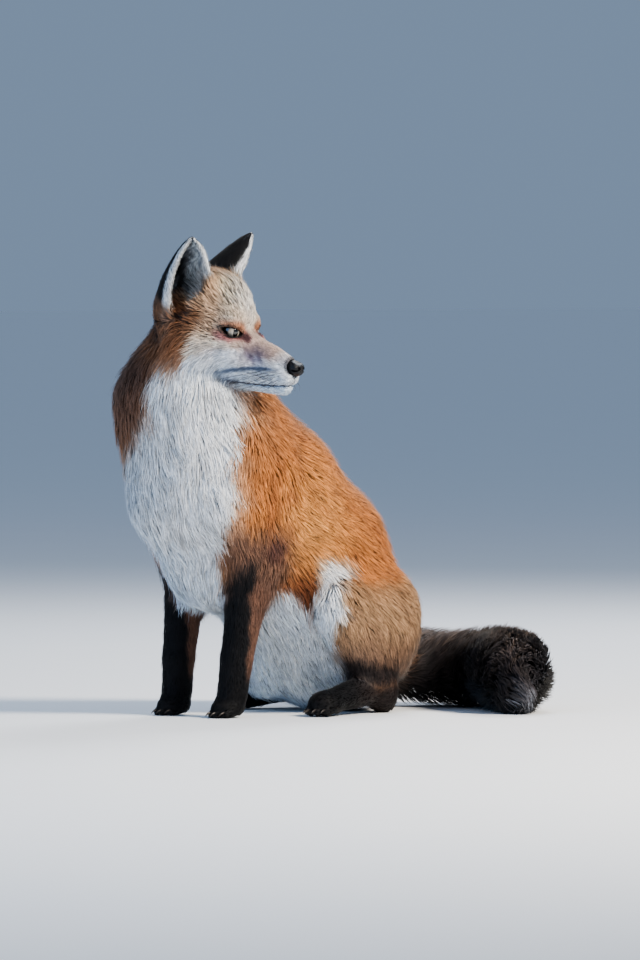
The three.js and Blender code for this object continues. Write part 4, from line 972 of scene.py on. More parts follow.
ROOT, NORM, ROOT_G, ROOT_DEPTH = ROOT[keep], NORM[keep], ROOT_G[:, keep], ROOT_DEPTH[keep]
note(f"{len(ROOT)} roots")

# ------------------------------------------------------------------ growing the tufts
LEN, WID, _, CLUMP, STAND = coat(*split(ROOT), ROOT_G, ROOT_DEPTH)
N_T = len(ROOT)
LEN = LEN * rng.uniform(0.75, 1.22, N_T)
WID = WID * rng.uniform(0.75, 1.3, N_T)
on_head = ROOT_G.argmin(0) == GI["head"]
on_tail = (ROOT_G.argmin(0) == GI["tail_base"]) | (ROOT_G.argmin(0) == GI["tail_tip"])
OUTER = ROOT_DEPTH * rng.uniform(np.where(on_head, 0.5, np.where(on_tail, 0.55, 0.66)), np.where(on_head | on_tail, 1.12, 1.05), N_T) * STAND
OUTER = np.minimum(OUTER, ROOT_DEPTH + np.where(on_tail, 4.0, 2.0))
# a few longer, thinner guard hairs stand out of the coat
guard = rng.random(N_T) < 0.08
out_of = np.where(guard | on_tail, rng.uniform(0.6, 3.6, N_T) * np.minimum(1, LEN / 20), 0)
LEN = np.where(guard, LEN * 1.2, LEN)
WID = np.where(guard, WID * 0.5, WID)
OUTER = np.where(guard, np.maximum(OUTER, ROOT_DEPTH) + out_of, OUTER)
wavy = 19 * ramp(ROOT[:, 1], -140, -180) * ramp(ROOT[:, 2], 150, 200) * ~on_head
TURN = np.radians(rng.normal(0, 8, N_T) + 13 * noise(*ROOT.T, 12, 31) + 10 * noise(*ROOT.T, 30, 32) + wavy * noise(*ROOT.T, 22, 33))
STEPS = np.array([0.36, 0.7, 1.0])
RISE = np.where(on_tail[None], np.array([[0.45], [0.78], [1.0]]), np.array([[0.62], [0.88], [1.0]]))

curve = [ROOT - NORM * 0.6]
here, norm, G = ROOT.copy(), NORM, ROOT_G
norms = [NORM]
last = 0.0
for s, rise in zip(STEPS, RISE):
    way = along(flow(*here.T, norm, G), norm)
    way = way * np.cos(TURN)[:, None] + cross(norm, way) * np.sin(TURN)[:, None]
    here = here + way * (LEN * (s - last))[:, None]
    last = s
    for _ in range(2):
        f, g, depth, G = skin_here(here)
        size = np.maximum(np.linalg.norm(g, axis=1), 0.3)
        norm = g / size[:, None]
        goal = np.minimum(OUTER, depth * 1.05 + 0.3 + out_of) * rise
        here = here + norm * np.clip((goal - f) / size, -7, 7)[:, None]
    here[:, 2] = np.maximum(here[:, 2], 0.7)
    curve.append(here.copy())
    norms.append(norm)
note("tufts laid")

# tufts gather into locks: each leans towards the tip of the nearest leading tuft
lead = rng.random(N_T) < np.where(LEN > 30, 0.05, np.where(LEN > 20, 0.08, 0.07))
tree = KDTree(int(lead.sum()))
leads = np.nonzero(lead)[0]
for i, j in enumerate(leads):
    tree.insert(ROOT[j], i)
tree.balance()
nearest = leads[np.fromiter((tree.find(p)[1] for p in ROOT), int, N_T)]
same = (NORM * NORM[nearest]).sum(1) > 0.5
pull = CLUMP * same * rng.uniform(0.6, 1.1, N_T) * np.where(guard, 0.3, 1)
offset = ROOT - ROOT[nearest]
for k, s in enumerate(STEPS):
    gather = (pull * s**1.2)[:, None]
    curve[k + 1] = curve[k + 1] + (curve[k + 1][nearest] - curve[k + 1]) * np.minimum(gather, 0.85) * np.where(np.linalg.norm(offset, axis=1) < LEN * 0.5, 1, 0)[:, None]
# the hair under the brush hangs towards the ground
hang = on_tail * ramp(-NORM[:, 2], -0.2, 0.5) * rng.uniform(1, 6, N_T)
for k, part in ((2, 0.45), (3, 1.0)):
    curve[k][:, 2] = np.maximum(curve[k][:, 2] - hang * part, 0.7)
TONE = rng.uniform(0.88, 1.12, N_T) * (0.45 + 0.55 * rng.uniform(0.8, 1.16, N_T)[nearest])
hf, hl, ht = head_coords(*ROOT.T)
speck = np.where(on_head, 0.26 * ramp(ht, -18, -6) * ramp(hf, 16, -2), 0.07 * (ROOT[:, 1] > -120) * (ROOT_G.argmin(0) != EAR_I))
TONE = TONE * np.where(rng.random(N_T) < speck, 0.58, 1)
note("locks gathered")

ROOT_C, ROOT_U = paint(*ROOT.T, NORM, ROOT_G)
TIP_C, _ = paint(*(ROOT * 0.5 + curve[2] * 0.5).T, norms[1], ROOT_G)
note("tufts painted")

# ------------------------------------------------------------------ pieces of the coat, and each one's unwrap
kind = ROOT_G.argmin(0)
hf, hl, ht = head_coords(*ROOT.T)
owner = np.full(N_T, "", dtype="<U24")
owner[kind == GI["trunk"]] = "trunk"
owner[kind == GI["neck"]] = "neck"
for s in ("left", "right"):
    owner[kind == GI["front_leg_" + s]] = "foreleg_" + s
    owner[kind == GI["thigh_" + s]] = "haunch_" + s
    owner[kind == GI["hind_foot_" + s]] = "hindfoot_" + s
owner[(kind == GI["tail_base"]) | (kind == GI["tail_tip"])] = "tail"
owner[kind == GI["head"]] = "head"
owner[kind == EAR_I] = "ears"
owner[(owner == "trunk") & (ROOT[:, 1] < -150)] = "chest"
for s, m in (("left", ROOT[:, 0] >= 0), ("right", ROOT[:, 0] < 0)):
    owner[(owner == "trunk") & m & (ROOT[:, 1] < -45)] = "flank_" + s
    owner[(owner == "trunk") & m] = "rump_" + s
owner[(owner == "head") & (hf > -18) & (hl >= 0)] = "face_left"
owner[(owner == "head") & (hf > -18) & (hl < 0)] = "face_right"
owner[(owner == "head") & (hl >= 0)] = "ruff_left"
owner[(owner == "head") & (hl < 0)] = "ruff_right"


def square(u, v):
    f = lambda a: 0.01 + 0.98 * (a - a.min()) / max(float(a.max() - a.min()), 1e-6)
    return f(u), f(v)


def unwrap(name, P, N):
    """Unrolls the skin under a piece: round its own axis, and along it."""
    x, y, z = P.T
    hf, hl, ht = head_coords(x, y, z)
    if name == "chest" or name.startswith(("flank", "rump")):
        c = V(0, -140, 260) if name == "chest" else V(0, -100, 200) if name.startswith("flank") else V(0, 10, 120)
        pole = V(0, -1, 0) if name == "chest" else V(1 if name.endswith("left") else -1, 0, 0)
        e1 = V(0, 0.6, -0.8) if name != "chest" else V(1, 0, 0)
        e2 = cross(pole, e1)
        d = P - c
        d /= np.linalg.norm(d, axis=1)[:, None]
        th = np.arccos(np.clip(d @ pole, -1, 1))
        ph = np.arctan2(d @ e2, d @ e1)
        return square(th * np.cos(ph), th * np.sin(ph))
    if name in ("face_left", "face_right"):
        return square(hf, np.arctan2(ht + 30, np.abs(hl)) * 30)
    if name in ("ruff_left", "ruff_right"):
        return square(np.arctan2(np.hypot(hl, ht + 8), -(hf + 18)) * np.cos(np.arctan2(ht + 8, np.abs(hl))), np.arctan2(np.hypot(hl, ht + 8), -(hf + 18)) * np.sin(np.arctan2(ht + 8, np.abs(hl))))
    if name == "neck":
        return square(np.arctan2(x - 2, -(y + 165)), z)
    if name.startswith("foreleg"):
        sx = 1 if name.endswith("left") else -1
        y0 = FRONT_FEET["y"] + sx * 5
        return square(np.arctan2(x - sx * mix(42, 50, ramp(z, 60, 180)), y - y0 - mix(0, 24, ramp(z, 60, 180))), z)
    if name.startswith("haunch"):
        sx = 1 if name.endswith("left") else -1
        d = P - V(sx * 50, 0, 85)
        d /= np.linalg.norm(d, axis=1)[:, None]
        th = np.arccos(np.clip(d[:, 0] * sx, -1, 1))
        ph = np.arctan2(d[:, 2], d[:, 1])
        return square(th * np.cos(ph), th * np.sin(ph))
    if name.startswith("hindfoot"):
        sx = 1 if name.endswith("left") else -1
        return square(np.arctan2(x - x.mean(), z - 10), y)
    if name == "tail":
        seg = ((P[:, None, :] - TAIL_MID[None]) ** 2).sum(2).argmin(1)
        c, t = TAIL_MID[seg], TAIL_WAY[seg]
        e = np.stack([-t[:, 1], t[:, 0], np.zeros(len(t))], 1)
        return square(np.arctan2(((P - c) * e).sum(1), z - c[:, 2]), seg * 26.5 + ((P - c) * t).sum(1))
    # ears: the back and the hollow of each in a quarter of the sheet
    u, v = np.zeros(len(P)), np.zeros(len(P))
    for q, e in enumerate(EARS):
        m = (hl >= 0) if e.side > 0 else (hl < 0)
        h, a, o = e.coords(*split(P[m]))
        t, wrap, r, half = e.section(h)
        oc = r * np.cos(wrap) + e.rim
        within = np.hypot(a, o - oc) < r
        phi = np.clip(np.arctan2(a, oc - o) / math.pi, -1, 1)
        u[m] = 0.25 * (2 * q + within) + 0.125 + 0.115 * phi
        v[m] = 0.02 + 0.96 * np.clip((h + 40) / (e.L + 50), 0, 1)
    return u, v


def to_row(p):
    return ((np.asarray(p) + SHIFT) * 0.001).astype(np.float32)


def new_object(name, verts, faces_flat, sizes, smooth=True):
    me = bpy.data.meshes.new(name)
    me.vertices.add(len(verts))
    me.vertices.foreach_set("co", to_row(verts).ravel())
    me.loops.add(len(faces_flat))
    me.loops.foreach_set("vertex_index", np.asarray(faces_flat, np.int32))
    me.polygons.add(len(sizes))
    starts = np.concatenate([[0], np.cumsum(sizes)[:-1]]).astype(np.int32)
    me.polygons.foreach_set("loop_start", starts)
    me.polygons.foreach_set("loop_total", np.asarray(sizes, np.int32))
    me.update(calc_edges=True)
    if smooth:
        me.polygons.foreach_set("use_smooth", np.ones(len(sizes), bool))
    ob = bpy.data.objects.new(name, me)
    bpy.context.scene.collection.objects.link(ob)
    return ob


def set_colour(me, name, rgb):
    at = me.attributes.new(name, "FLOAT_COLOR", "POINT")
    rgba = np.ones((len(rgb), 4), np.float32)
    rgba[:, :3] = rgb
    at.data.foreach_set("color", rgba.ravel())


# ------------------------------------------------------------------ materials
def material(name, build):
    m = bpy.data.materials.new(name)
    m.use_nodes = True
    nt = m.node_tree
    b = nt.nodes["Principled BSDF"]
    build(nt, b)
    return m


def node(nt, kind, **inputs):
    n = nt.nodes.new(kind)
    for k, v in inputs.items():
        if k in n.inputs:
            n.inputs[k].default_value = v
        else:
            setattr(n, k, v)
    return n


def marked(scale, low, high, stretch=None):
    """Base colour from the markings, broken up by a fine noise."""

    def build(nt, b):
        at = node(nt, "ShaderNodeAttribute", attribute_name="mark")
        tc = nt.nodes.new("ShaderNodeTexCoord")
        no = node(nt, "ShaderNodeTexNoise", Scale=scale, Detail=3.0)
        nt.links.new(tc.outputs["Object"], no.inputs["Vector"])
        mr = node(nt, "ShaderNodeMapRange")
        mr.inputs["From Min"].default_value = 0.3
        mr.inputs["From Max"].default_value = 0.7
        mr.inputs["To Min"].default_value = low
        mr.inputs["To Max"].default_value = high
        nt.links.new(no.outputs["Fac"], mr.inputs["Value"])
        vm = nt.nodes.new("ShaderNodeVectorMath")
        vm.operation = "SCALE"
        nt.links.new(at.outputs["Color"], vm.inputs[0])
        nt.links.new(mr.outputs["Result"], vm.inputs["Scale"])
        nt.links.new(vm.outputs["Vector"], b.inputs["Base Color"])
        return tc, no

    return build


def coat_material(nt, b):
    marked(260, 0.86, 1.12)(nt, b)
    b.inputs["Roughness"].default_value = 0.62
    b.inputs["Specular IOR Level"].default_value = 0.22
    b.inputs["Sheen Weight"].default_value = 0.12
    b.inputs["Sheen Roughness"].default_value = 0.5


def skin_material(nt, b):
    tc, _ = marked(420, 0.72, 1.0)(nt, b)
    b.inputs["Roughness"].default_value = 0.75
    b.inputs["Specular IOR Level"].default_value = 0.15
    no = node(nt, "ShaderNodeTexNoise", Scale=900.0, Detail=4.0)
    nt.links.new(tc.outputs["Object"], no.inputs["Vector"])
    bu = node(nt, "ShaderNodeBump", Strength=0.5, Distance=0.0006)
    nt.links.new(no.outputs["Fac"], bu.inputs["Height"])
    nt.links.new(bu.outputs["Normal"], b.inputs["Normal"])


COAT, SKIN_M = material("fox_coat", coat_material), material("fox_skin", skin_material)

# ------------------------------------------------------------------ the skin
skin = new_object("fox_skin", SKIN, QUADS.ravel(), np.full(len(QUADS), 4))
skin_c, skin_u = paint(*SKIN.T, SKIN_N, SKIN_G)
bare = ramp(SKIN_DEPTH, 6, 2.5)[:, None]
set_colour(skin.data, "mark", linear(skin_u * (1 - bare) + skin_c * bare * 0.92))
skin.data.materials.append(SKIN_M)
FLESH = ["head", "neck", "trunk", "tail", "ear_left", "ear_right"] + [f"{p}_{s}" for p in ("front_leg", "thigh", "hind_foot") for s in ("left", "right")]
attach(skin, "root")
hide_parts(*FLESH)
note("skin made")


# ------------------------------------------------------------------ the coat's meshes
def coat_piece(name, who):
    """Each tuft is a closed spindle: a point in the skin, one or two three-sided rings, and the tip."""
    long = LEN[who] > 33
    verts, faces, colours, normals, uvs = [], [], [], [], []
    total = 0
    u, v = unwrap(name, ROOT[who], NORM[who])
    for sel in (~long, long):
        chosen = who[sel]
        if not len(chosen):
            continue
        k = len(chosen)
        c = [curve[i][chosen] for i in (0, 1, 2, 3)]
        nn = [norms[i][chosen] for i in (0, 1, 2, 3)]
        if sel is long:
            line, lie, reach, wide = c, nn, (0, 0.36, 0.7, 1), (0, 0.62, 0.46)
        else:  # short tufts have one ring, half way along
            line, lie, reach, wide = [c[0], 0.5 * (c[1] + c[2]), c[3]], [nn[0], nn[1], nn[3]], (0, 0.53, 1), (0, 0.62)
        tone = TONE[chosen][:, None]
        outer = (ROOT_C[chosen] * 0.55 + TIP_C[chosen] * 0.45) * tone
        under = ROOT_U[chosen] * tone
        row_v, row_n, row_c, row_uv = [line[0]], [lie[0]], [under * 0.9], [(0, -0.0015)]
        for q in range(1, len(line) - 1):
            ahead = line[q + 1] - line[q - 1]
            side_way = cross(lie[q], ahead)
            side_way /= np.maximum(np.linalg.norm(side_way, axis=1), 1e-6)[:, None]
            h = (WID[chosen] * wide[q])[:, None]
            row_v += [line[q] - side_way * h, line[q] + side_way * h, line[q] + lie[q] * h * 0.5]
            row_n += [lie[q] - side_way * 0.55, lie[q] + side_way * 0.55, lie[q]]
            base = under + (outer - under) * float(ramp(np.array(reach[q]), -0.25, 0.6))
            # across each tuft the sides are painted darker and the ridge lighter: painted shade and highlight as on a
            # rounded lock
            row_c += [base * 0.93, base * 0.93, base * 1.06]
            at = reach[q] * 0.003 - 0.0015
            row_uv += [(-0.0015, at), (0.0015, at), (0, at)]
        row_v.append(line[-1])
        row_n.append(lie[-1])
        row_c.append(outer * 1.07)
        row_uv.append((0, 0.0015))
        m = len(row_v)
        tri = [(0, 2, 1), (0, 3, 2), (0, 1, 3)]
        if sel is long:
            for i, j in ((1, 2), (2, 3), (3, 1)):
                tri += [(i, j, j + 3), (i, j + 3, i + 3)]
        a = m - 4
        tri += [(a, a + 1, m - 1), (a + 1, a + 2, m - 1), (a + 2, a, m - 1)]
        vv = np.stack(row_v, 1).reshape(-1, 3)
        vv[:, 2] = np.maximum(vv[:, 2], 0.4)
        verts.append(vv)
        normals.append(np.stack(row_n, 1).reshape(-1, 3))
        colours.append(np.stack(row_c, 1).reshape(-1, 3))
        faces.append((np.array(tri)[None] + (np.arange(k) * m)[:, None, None] + total).reshape(-1, 3))
        # the patch: across the tuft in u, along it in v
        patch = np.array(row_uv)
        uvs.append(np.stack([u[sel][:, None] + patch[:, 0], v[sel][:, None] + patch[:, 1]], 2).reshape(-1, 2))
        total += k * m
    verts, faces, colours, normals, uvs = (np.concatenate(q) for q in (verts, faces, colours, normals, uvs))
    ob = new_object("coat_" + name, verts, faces.ravel(), np.full(len(faces), 3))
    me = ob.data
    set_colour(me, "mark", linear(colours))
    uv = me.uv_layers.new(name="OFBake")
    uv.data.foreach_set("uv", uvs[faces.ravel()].astype(np.float32).ravel())
    normals /= np.linalg.norm(normals, axis=1)[:, None]
    me.normals_split_custom_set_from_vertices(normals.astype(np.float32))
    me.materials.append(COAT)
    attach(ob, "root")
    return len(faces)


triangles = {}
for name in sorted(set(owner)):
    triangles[name] = coat_piece(name, np.nonzero(owner == name)[0])
note("coat: " + ", ".join(f"{k} {v}" for k, v in triangles.items()) + f"; {sum(triangles.values())} triangles in all")


# ------------------------------------------------------------------ eyes
def eye_material(nt, b):
    at = node(nt, "ShaderNodeAttribute", attribute_name="iris")  # x: angle round the iris, y: distance from its centre, z: pupil
    sp = nt.nodes.new("ShaderNodeSeparateXYZ")
    nt.links.new(at.outputs["Vector"], sp.inputs["Vector"])
    tc = nt.nodes.new("ShaderNodeTexCoord")
    no = node(nt, "ShaderNodeTexNoise", Scale=1700.0, Detail=4.0)
    nt.links.new(tc.outputs["Object"], no.inputs["Vector"])
    cr = nt.nodes.new("ShaderNodeValToRGB")
    el = cr.color_ramp.elements
    stops = [(0.0, (92, 80, 70)), (0.3, (190, 178, 164)), (0.7, (160, 144, 128)), (0.88, (74, 62, 56)), (1.0, (22, 19, 20))]
    while len(el) < len(stops):
        el.new(0.5)
    for e, (s, c) in zip(el, stops):
        e.position = s
        e.color = (*linear(srgb(*c)), 1)
    nt.links.new(sp.outputs["Y"], cr.inputs["Fac"])
    mr = node(nt, "ShaderNodeMapRange")
    mr.inputs["From Min"].default_value = 0.3
    mr.inputs["From Max"].default_value = 0.7
    mr.inputs["To Min"].default_value = 0.65
    mr.inputs["To Max"].default_value = 1.3
    nt.links.new(no.outputs["Fac"], mr.inputs["Value"])
    vm = nt.nodes.new("ShaderNodeVectorMath")
    vm.operation = "SCALE"
    nt.links.new(cr.outputs["Color"], vm.inputs[0])
    nt.links.new(mr.outputs["Result"], vm.inputs["Scale"])
    mx = nt.nodes.new("ShaderNodeMix")
    mx.data_type = "RGBA"
    nt.links.new(sp.outputs["Z"], mx.inputs["Factor"])
    nt.links.new(vm.outputs["Vector"], mx.inputs[6])
    mx.inputs[7].default_value = (0.004, 0.004, 0.005, 1)
    nt.links.new(mx.outputs[2], b.inputs["Base Color"])
    b.inputs["Roughness"].default_value = 0.12
    b.inputs["Coat Weight"].default_value = 1.0
    b.inputs["Coat Roughness"].default_value = 0.03


EYE_M = material("fox_eye", eye_material)
for y, name, at, (out, u, v) in zip((1, -1), ("left", "right"), EYE_AT, EYE_FRAMES):
    gaze = unit(head_vector((math.cos(rad(29)), math.sin(rad(29)) * y, 0.0)))
    e1 = unit(HL - gaze * np.dot(HL, gaze))
    e2 = cross(gaze, e1)
    rings_, around = 36, 48
    verts, iris = [gaze * (EYE["r"] + 0.55)], [(0, 0, 1)]
    for i in range(1, rings_):
        th = math.pi * (i / rings_) ** 1.25
        bulge = 0.75 * math.exp(-((th / rad(30)) ** 4))
        for j in range(around):
            ph = 2 * math.pi * j / around
            d = gaze * math.cos(th) + (e1 * math.cos(ph) + e2 * math.sin(ph)) * math.sin(th)
            verts.append(d * (EYE["r"] - 0.2 + bulge))
            a, b = math.sin(th) * math.cos(ph) * 10.2, math.sin(th) * math.sin(ph) * 10.2
            # the pupil is drawn wide: its dark is partly the pupil and partly painted shade over the eye
            slit = math.hypot(a / 2.9, b / 5.2)
            iris.append((ph, min(1, th / rad(57)), float(ramp(np.array(slit), 1.12, 0.92)) if th < rad(60) else 0))
    verts.append(-gaze * (EYE["r"] - 0.2))
    iris.append((0, 1, 0))
    faces, sizes = [], []
    for j in range(around):
        k = (j + 1) % around
        faces += [0, 1 + j, 1 + k]
        sizes.append(3)
        last_ = 1 + (rings_ - 2) * around
        faces += [last_ + k, last_ + j, len(verts) - 1]
        sizes.append(3)
        for i in range(rings_ - 2):
            p0 = 1 + i * around
            faces += [p0 + j, p0 + around + j, p0 + around + k, p0 + k]
            sizes.append(4)
    ob = new_object(f"fox_eye_{name}", np.array(verts) + at, faces, sizes)
    at_ = ob.data.attributes.new("iris", "FLOAT_VECTOR", "POINT")
    at_.data.foreach_set("vector", np.array(iris, np.float32).ravel())
    ob.data.materials.append(EYE_M)
    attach(ob, "root")
    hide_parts(f"eye_{name}")

# ------------------------------------------------------------------ nose
def nose_material(nt, b):
    tc = nt.nodes.new("ShaderNodeTexCoord")
    vo = node(nt, "ShaderNodeTexVoronoi", Scale=900.0)
    no = node(nt, "ShaderNodeTexNoise", Scale=300.0, Detail=3.0)
    for t in (vo, no):
        nt.links.new(tc.outputs["Object"], t.inputs["Vector"])
    cr = nt.nodes.new("ShaderNodeValToRGB")
    cr.color_ramp.elements[0].color = (*linear(srgb(6, 6, 9)), 1)
    cr.color_ramp.elements[1].color = (*linear(srgb(17, 17, 22)), 1)
    nt.links.new(no.outputs["Fac"], cr.inputs["Fac"])
    nt.links.new(cr.outputs["Color"], b.inputs["Base Color"])
    bu = node(nt, "ShaderNodeBump", Strength=0.7, Distance=0.0006)
    nt.links.new(vo.outputs["Distance"], bu.inputs["Height"])
    nt.links.new(bu.outputs["Normal"], b.inputs["Normal"])
    b.inputs["Roughness"].default_value = 0.42
    b.inputs["Specular IOR Level"].default_value = 0.35
    b.inputs["Coat Weight"].default_value = 0.1
    b.inputs["Coat Roughness"].default_value = 0.3


def nose_field(x, y, z):
    """In the head's axes, about the middle of the pad: x forward, y left, z up."""
    f = (np.sqrt((x / 9.5) ** 2 + (y / 10.4) ** 2 + (z / 9) ** 2) - 1) * 8.6
    ay = np.abs(y)
    f = smax(f, (z + 0.45 * x - 6.4) * 0.9, 2.4)  # flattened top
    f = smax(f, (x + 0.25 * z + 0.02 * y * y - 8.0) * 0.9, 2.0)  # and front
    f = f + 1.2 * np.exp(-((y / 0.9) ** 2)) * ramp(x, 3, 7) * ramp(z, 5, 2)  # the groove down the middle
    hole = np.sqrt(((x - 7.4) / 4.8) ** 2 + ((ay - 4.7) / 2.2) ** 2 + ((z - 0.4) / 2.0) ** 2) - 1
    slit = np.sqrt(((x - 4.2) / 4.6) ** 2 + ((ay - 8.2) / 3.6) ** 2 + ((z + 1.6 + 0.25 * (ay - 6)) / 0.95) ** 2) - 1
    f = smax(f, -hole * 2.0, 0.6)
    return smax(f, -slit * 1.0, 0.5)


g1 = np.arange(-11.4, 11.5, 0.55, dtype=np.float32)
gx, gy, gz = np.meshgrid(g1, g1, g1, indexing="ij")
nv, nq = surface_nets(nose_field(gx, gy, gz), (g1, g1, g1))
nv, nq = biggest_piece(nv, nq)
for _ in range(2):
    f0 = nose_field(*nv.T)
    grad = np.stack([nose_field(*(nv + d).T) - f0 for d in np.eye(3) * 0.1], 1) / 0.1
    nv = nv - grad * (f0 / np.maximum((grad**2).sum(1), 0.1))[:, None]
nw = head_point(NOSE["at"]) + nv[:, :1] * HF + nv[:, 1:2] * HL + nv[:, 2:3] * HT
nose = new_object("fox_nose", nw, nq.ravel(), np.full(len(nq), 4))
nose.data.materials.append(material("fox_nose", nose_material))
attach(nose, "root")
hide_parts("nose")


# ------------------------------------------------------------------ claws and whiskers
def tubes(name, lines, radii, sides, mat, flat=1.0):
    """Closed tapering tubes along several lines, joined in one mesh."""
    verts, faces, sizes, total = [], [], [], 0
    for pts, rr in zip(lines, radii):
        m = len(pts)
        for i, (p, r) in enumerate(zip(pts, rr)):
            t = unit(pts[min(i + 1, m - 1)] - pts[max(i - 1, 0)])
            e1 = unit(cross(t, V(0, 0, 1) if abs(t[2]) < 0.9 else V(1, 0, 0)))
            e2 = cross(t, e1)
            for j in range(sides):
                a = 2 * math.pi * j / sides
                verts.append(p + (e1 * math.cos(a) * flat + e2 * math.sin(a)) * r)
        for i in range(m - 1):
            for j in range(sides):
                k = (j + 1) % sides
                faces += [total + i * sides + j, total + i * sides + k, total + (i + 1) * sides + k, total + (i + 1) * sides + j]
                sizes.append(4)
        faces += [total + j for j in range(sides)][::-1]
        sizes.append(sides)
        faces += [total + (m - 1) * sides + j for j in range(sides)]
        sizes.append(sides)
        total += m * sides
    ob = new_object(name, np.array(verts), faces, sizes)
    ob.data.materials.append(mat)
    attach(ob, "root")
    return ob


def horn_material(nt, b):
    tc = nt.nodes.new("ShaderNodeTexCoord")
    no = node(nt, "ShaderNodeTexNoise", Scale=500.0, Detail=3.0)
    nt.links.new(tc.outputs["Object"], no.inputs["Vector"])
    cr = nt.nodes.new("ShaderNodeValToRGB")
    cr.color_ramp.elements[0].color = (*linear(srgb(26, 22, 21)), 1)
    cr.color_ramp.elements[1].color = (*linear(srgb(66, 56, 50)), 1)
    nt.links.new(no.outputs["Fac"], cr.inputs["Fac"])
    nt.links.new(cr.outputs["Color"], b.inputs["Base Color"])
    b.inputs["Roughness"].default_value = 0.35


def whisker_material(nt, b):
    tc = nt.nodes.new("ShaderNodeTexCoord")
    no = node(nt, "ShaderNodeTexNoise", Scale=60.0, Detail=2.0)
    nt.links.new(tc.outputs["Object"], no.inputs["Vector"])
    cr = nt.nodes.new("ShaderNodeValToRGB")
    cr.color_ramp.elements[0].color = (*linear(srgb(16, 16, 20)), 1)
    cr.color_ramp.elements[1].color = (*linear(srgb(52, 52, 60)), 1)
    nt.links.new(no.outputs["Fac"], cr.inputs["Fac"])
    nt.links.new(cr.outputs["Color"], b.inputs["Base Color"])
    b.inputs["Roughness"].default_value = 0.4


lines, radii = [], []
for tip, d, size in TOES:
    start = tip + d * 1.5 * size + V(0, 0, 2.0)
    pts = [start + d * (t * 10.5 * size) + V(0, 0, 1.8 * math.sin(t * 2.2) - 4.6 * t * t) * size for t in np.linspace(0, 1, 7)]
    pts = [V(q[0], q[1], max(q[2], 1.2 * (1 - t) + 0.5)) for q, t in zip(pts, np.linspace(0, 1, 7))]
    lines.append(pts)
    radii.append([1.9 * size * (1 - t) ** 0.7 + 0.18 for t in np.linspace(0, 1, 7)])
tubes("fox_claws", lines, radii, 8, material("fox_claw", horn_material), 0.7)

lines, radii = [], []
wr = np.random.default_rng(19)
for y in (1, -1):
    for row, (ht0, n) in enumerate(((-31, 4), (-34.5, 5), (-38, 5), (-41, 4))):
        for i in range(n):
            hf0 = 67 - 5.4 * i - row * 1.0
            length = wr.uniform(38, 62) * (0.75 + 0.08 * i)
            yaw, fall = rad(wr.uniform(52, 72) + 7 * i), wr.uniform(-0.08, 0.16) + 0.07 * row
            base = V(hf0, (9.5 + 1.2 * i) * y, ht0)
            way = unit(V(math.cos(yaw) * 0.9 - 0.25, math.sin(yaw) * y, -fall))
            pts = []
            for t in np.linspace(0, 1, 9):
                q = base + way * length * t + V(-0.42 * length * t * t, 0.0, -0.16 * length * t * t)
                pts.append(head_point(q))
            lines.append(pts)
            radii.append([mix(0.30, 0.07, t) for t in np.linspace(0, 1, 9)])
tubes("fox_whiskers", lines, radii, 5, material("fox_whisker", whisker_material))
note("eyes, nose, claws and whiskers made")

# ------------------------------------------------------------------ floor, light and camera
def floor_material(nt, b):
    tc = nt.nodes.new("ShaderNodeTexCoord")
    no = node(nt, "ShaderNodeTexNoise", Scale=6.0, Detail=4.0)
    nt.links.new(tc.outputs["Object"], no.inputs["Vector"])
    cr = nt.nodes.new("ShaderNodeValToRGB")
    cr.color_ramp.elements[0].color = (0.965, 0.967, 0.97, 1)
    cr.color_ramp.elements[1].color = (0.985, 0.985, 0.985, 1)
    nt.links.new(no.outputs["Fac"], cr.inputs["Fac"])
    nt.links.new(cr.outputs["Color"], b.inputs["Base Color"])
    b.inputs["Roughness"].default_value = 0.9


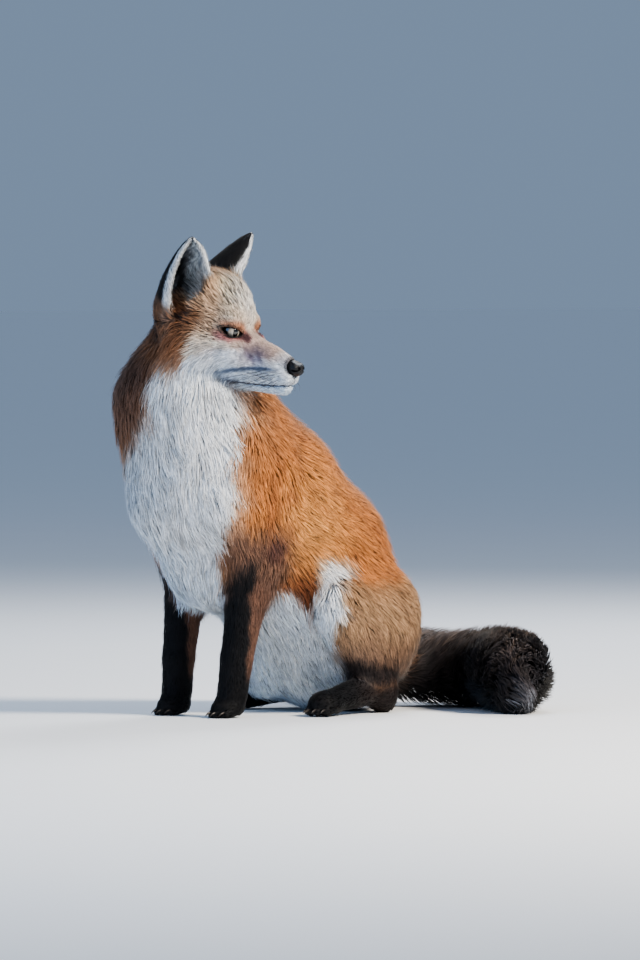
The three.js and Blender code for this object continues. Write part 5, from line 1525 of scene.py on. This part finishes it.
me = bpy.data.meshes.new("floor")
me.from_pydata([(-60, -60, 0), (60, -60, 0), (60, 60, 0), (-60, 60, 0)], [], [(0, 1, 2, 3)])
floor = bpy.data.objects.new("floor", me)
floor.data.materials.append(material("floor", floor_material))
bpy.context.scene.collection.objects.link(floor)
floor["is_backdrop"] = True

AZ, EL = rad(50), rad(1.5)
RIGHT = V(math.cos(AZ), math.sin(AZ), 0)
BACKWARD = V(math.sin(AZ) * math.cos(EL), -math.cos(AZ) * math.cos(EL), math.sin(EL))
UP = cross(BACKWARD, RIGHT)
target = (SHIFT + RIGHT * 2.2 + UP * 251.8) / 1000


def aim(ob, place, at):
    ob.location = Vector(place)
    ob.rotation_euler = (Vector(at) - Vector(place)).to_track_quat("-Z", "Y").to_euler()


camera = bpy.data.cameras.new("camera")
camera.sensor_fit = "VERTICAL"
camera.sensor_height = 36.0
camera.sensor_width = 24.0
camera.lens = 36.0 * 9.0 / 1.0464
camera.clip_end = 100
cam = bpy.data.objects.new("camera", camera)
bpy.context.scene.collection.objects.link(cam)
aim(cam, target + BACKWARD * 9.0, target)
bpy.context.scene.camera = cam


def area(name, way, distance, size, power, colour):
    l = bpy.data.lights.new(name, "AREA")
    l.shape = "DISK"
    l.size = size
    l.energy = power
    l.color = colour
    ob = bpy.data.objects.new(name, l)
    bpy.context.scene.collection.objects.link(ob)
    c = np.array(target)
    aim(ob, c + unit(way) * distance, c)


area("key", RIGHT * 0.66 + BACKWARD * 0.5 + V(0, 0, 0.6), 3.2, 0.9, 142, (1.0, 0.92, 0.80))
area("fill", -RIGHT * 0.7 + BACKWARD * 0.75 + V(0, 0, 0.35), 3.4, 2.4, 30, (0.36, 0.62, 1.0))
area("rim", -BACKWARD * 0.8 + RIGHT * 0.25 + V(0, 0, 0.75), 3.0, 1.2, 40, (0.95, 0.97, 1.0))
world = bpy.data.worlds.new("world")
world.use_nodes = True
world.node_tree.nodes["Background"].inputs["Color"].default_value = (0.53, 0.71, 1.0, 1)
world.node_tree.nodes["Background"].inputs["Strength"].default_value = 0.36
bpy.context.scene.world = world
bpy.context.scene.view_settings.view_transform = "AgX"
bpy.context.scene.view_settings.look = "AgX - Medium High Contrast"

bpy.context.view_layer.update()
new_box = [list(c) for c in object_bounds()]
note(f"box of the solids {cad_box}, of the visual model {new_box}")
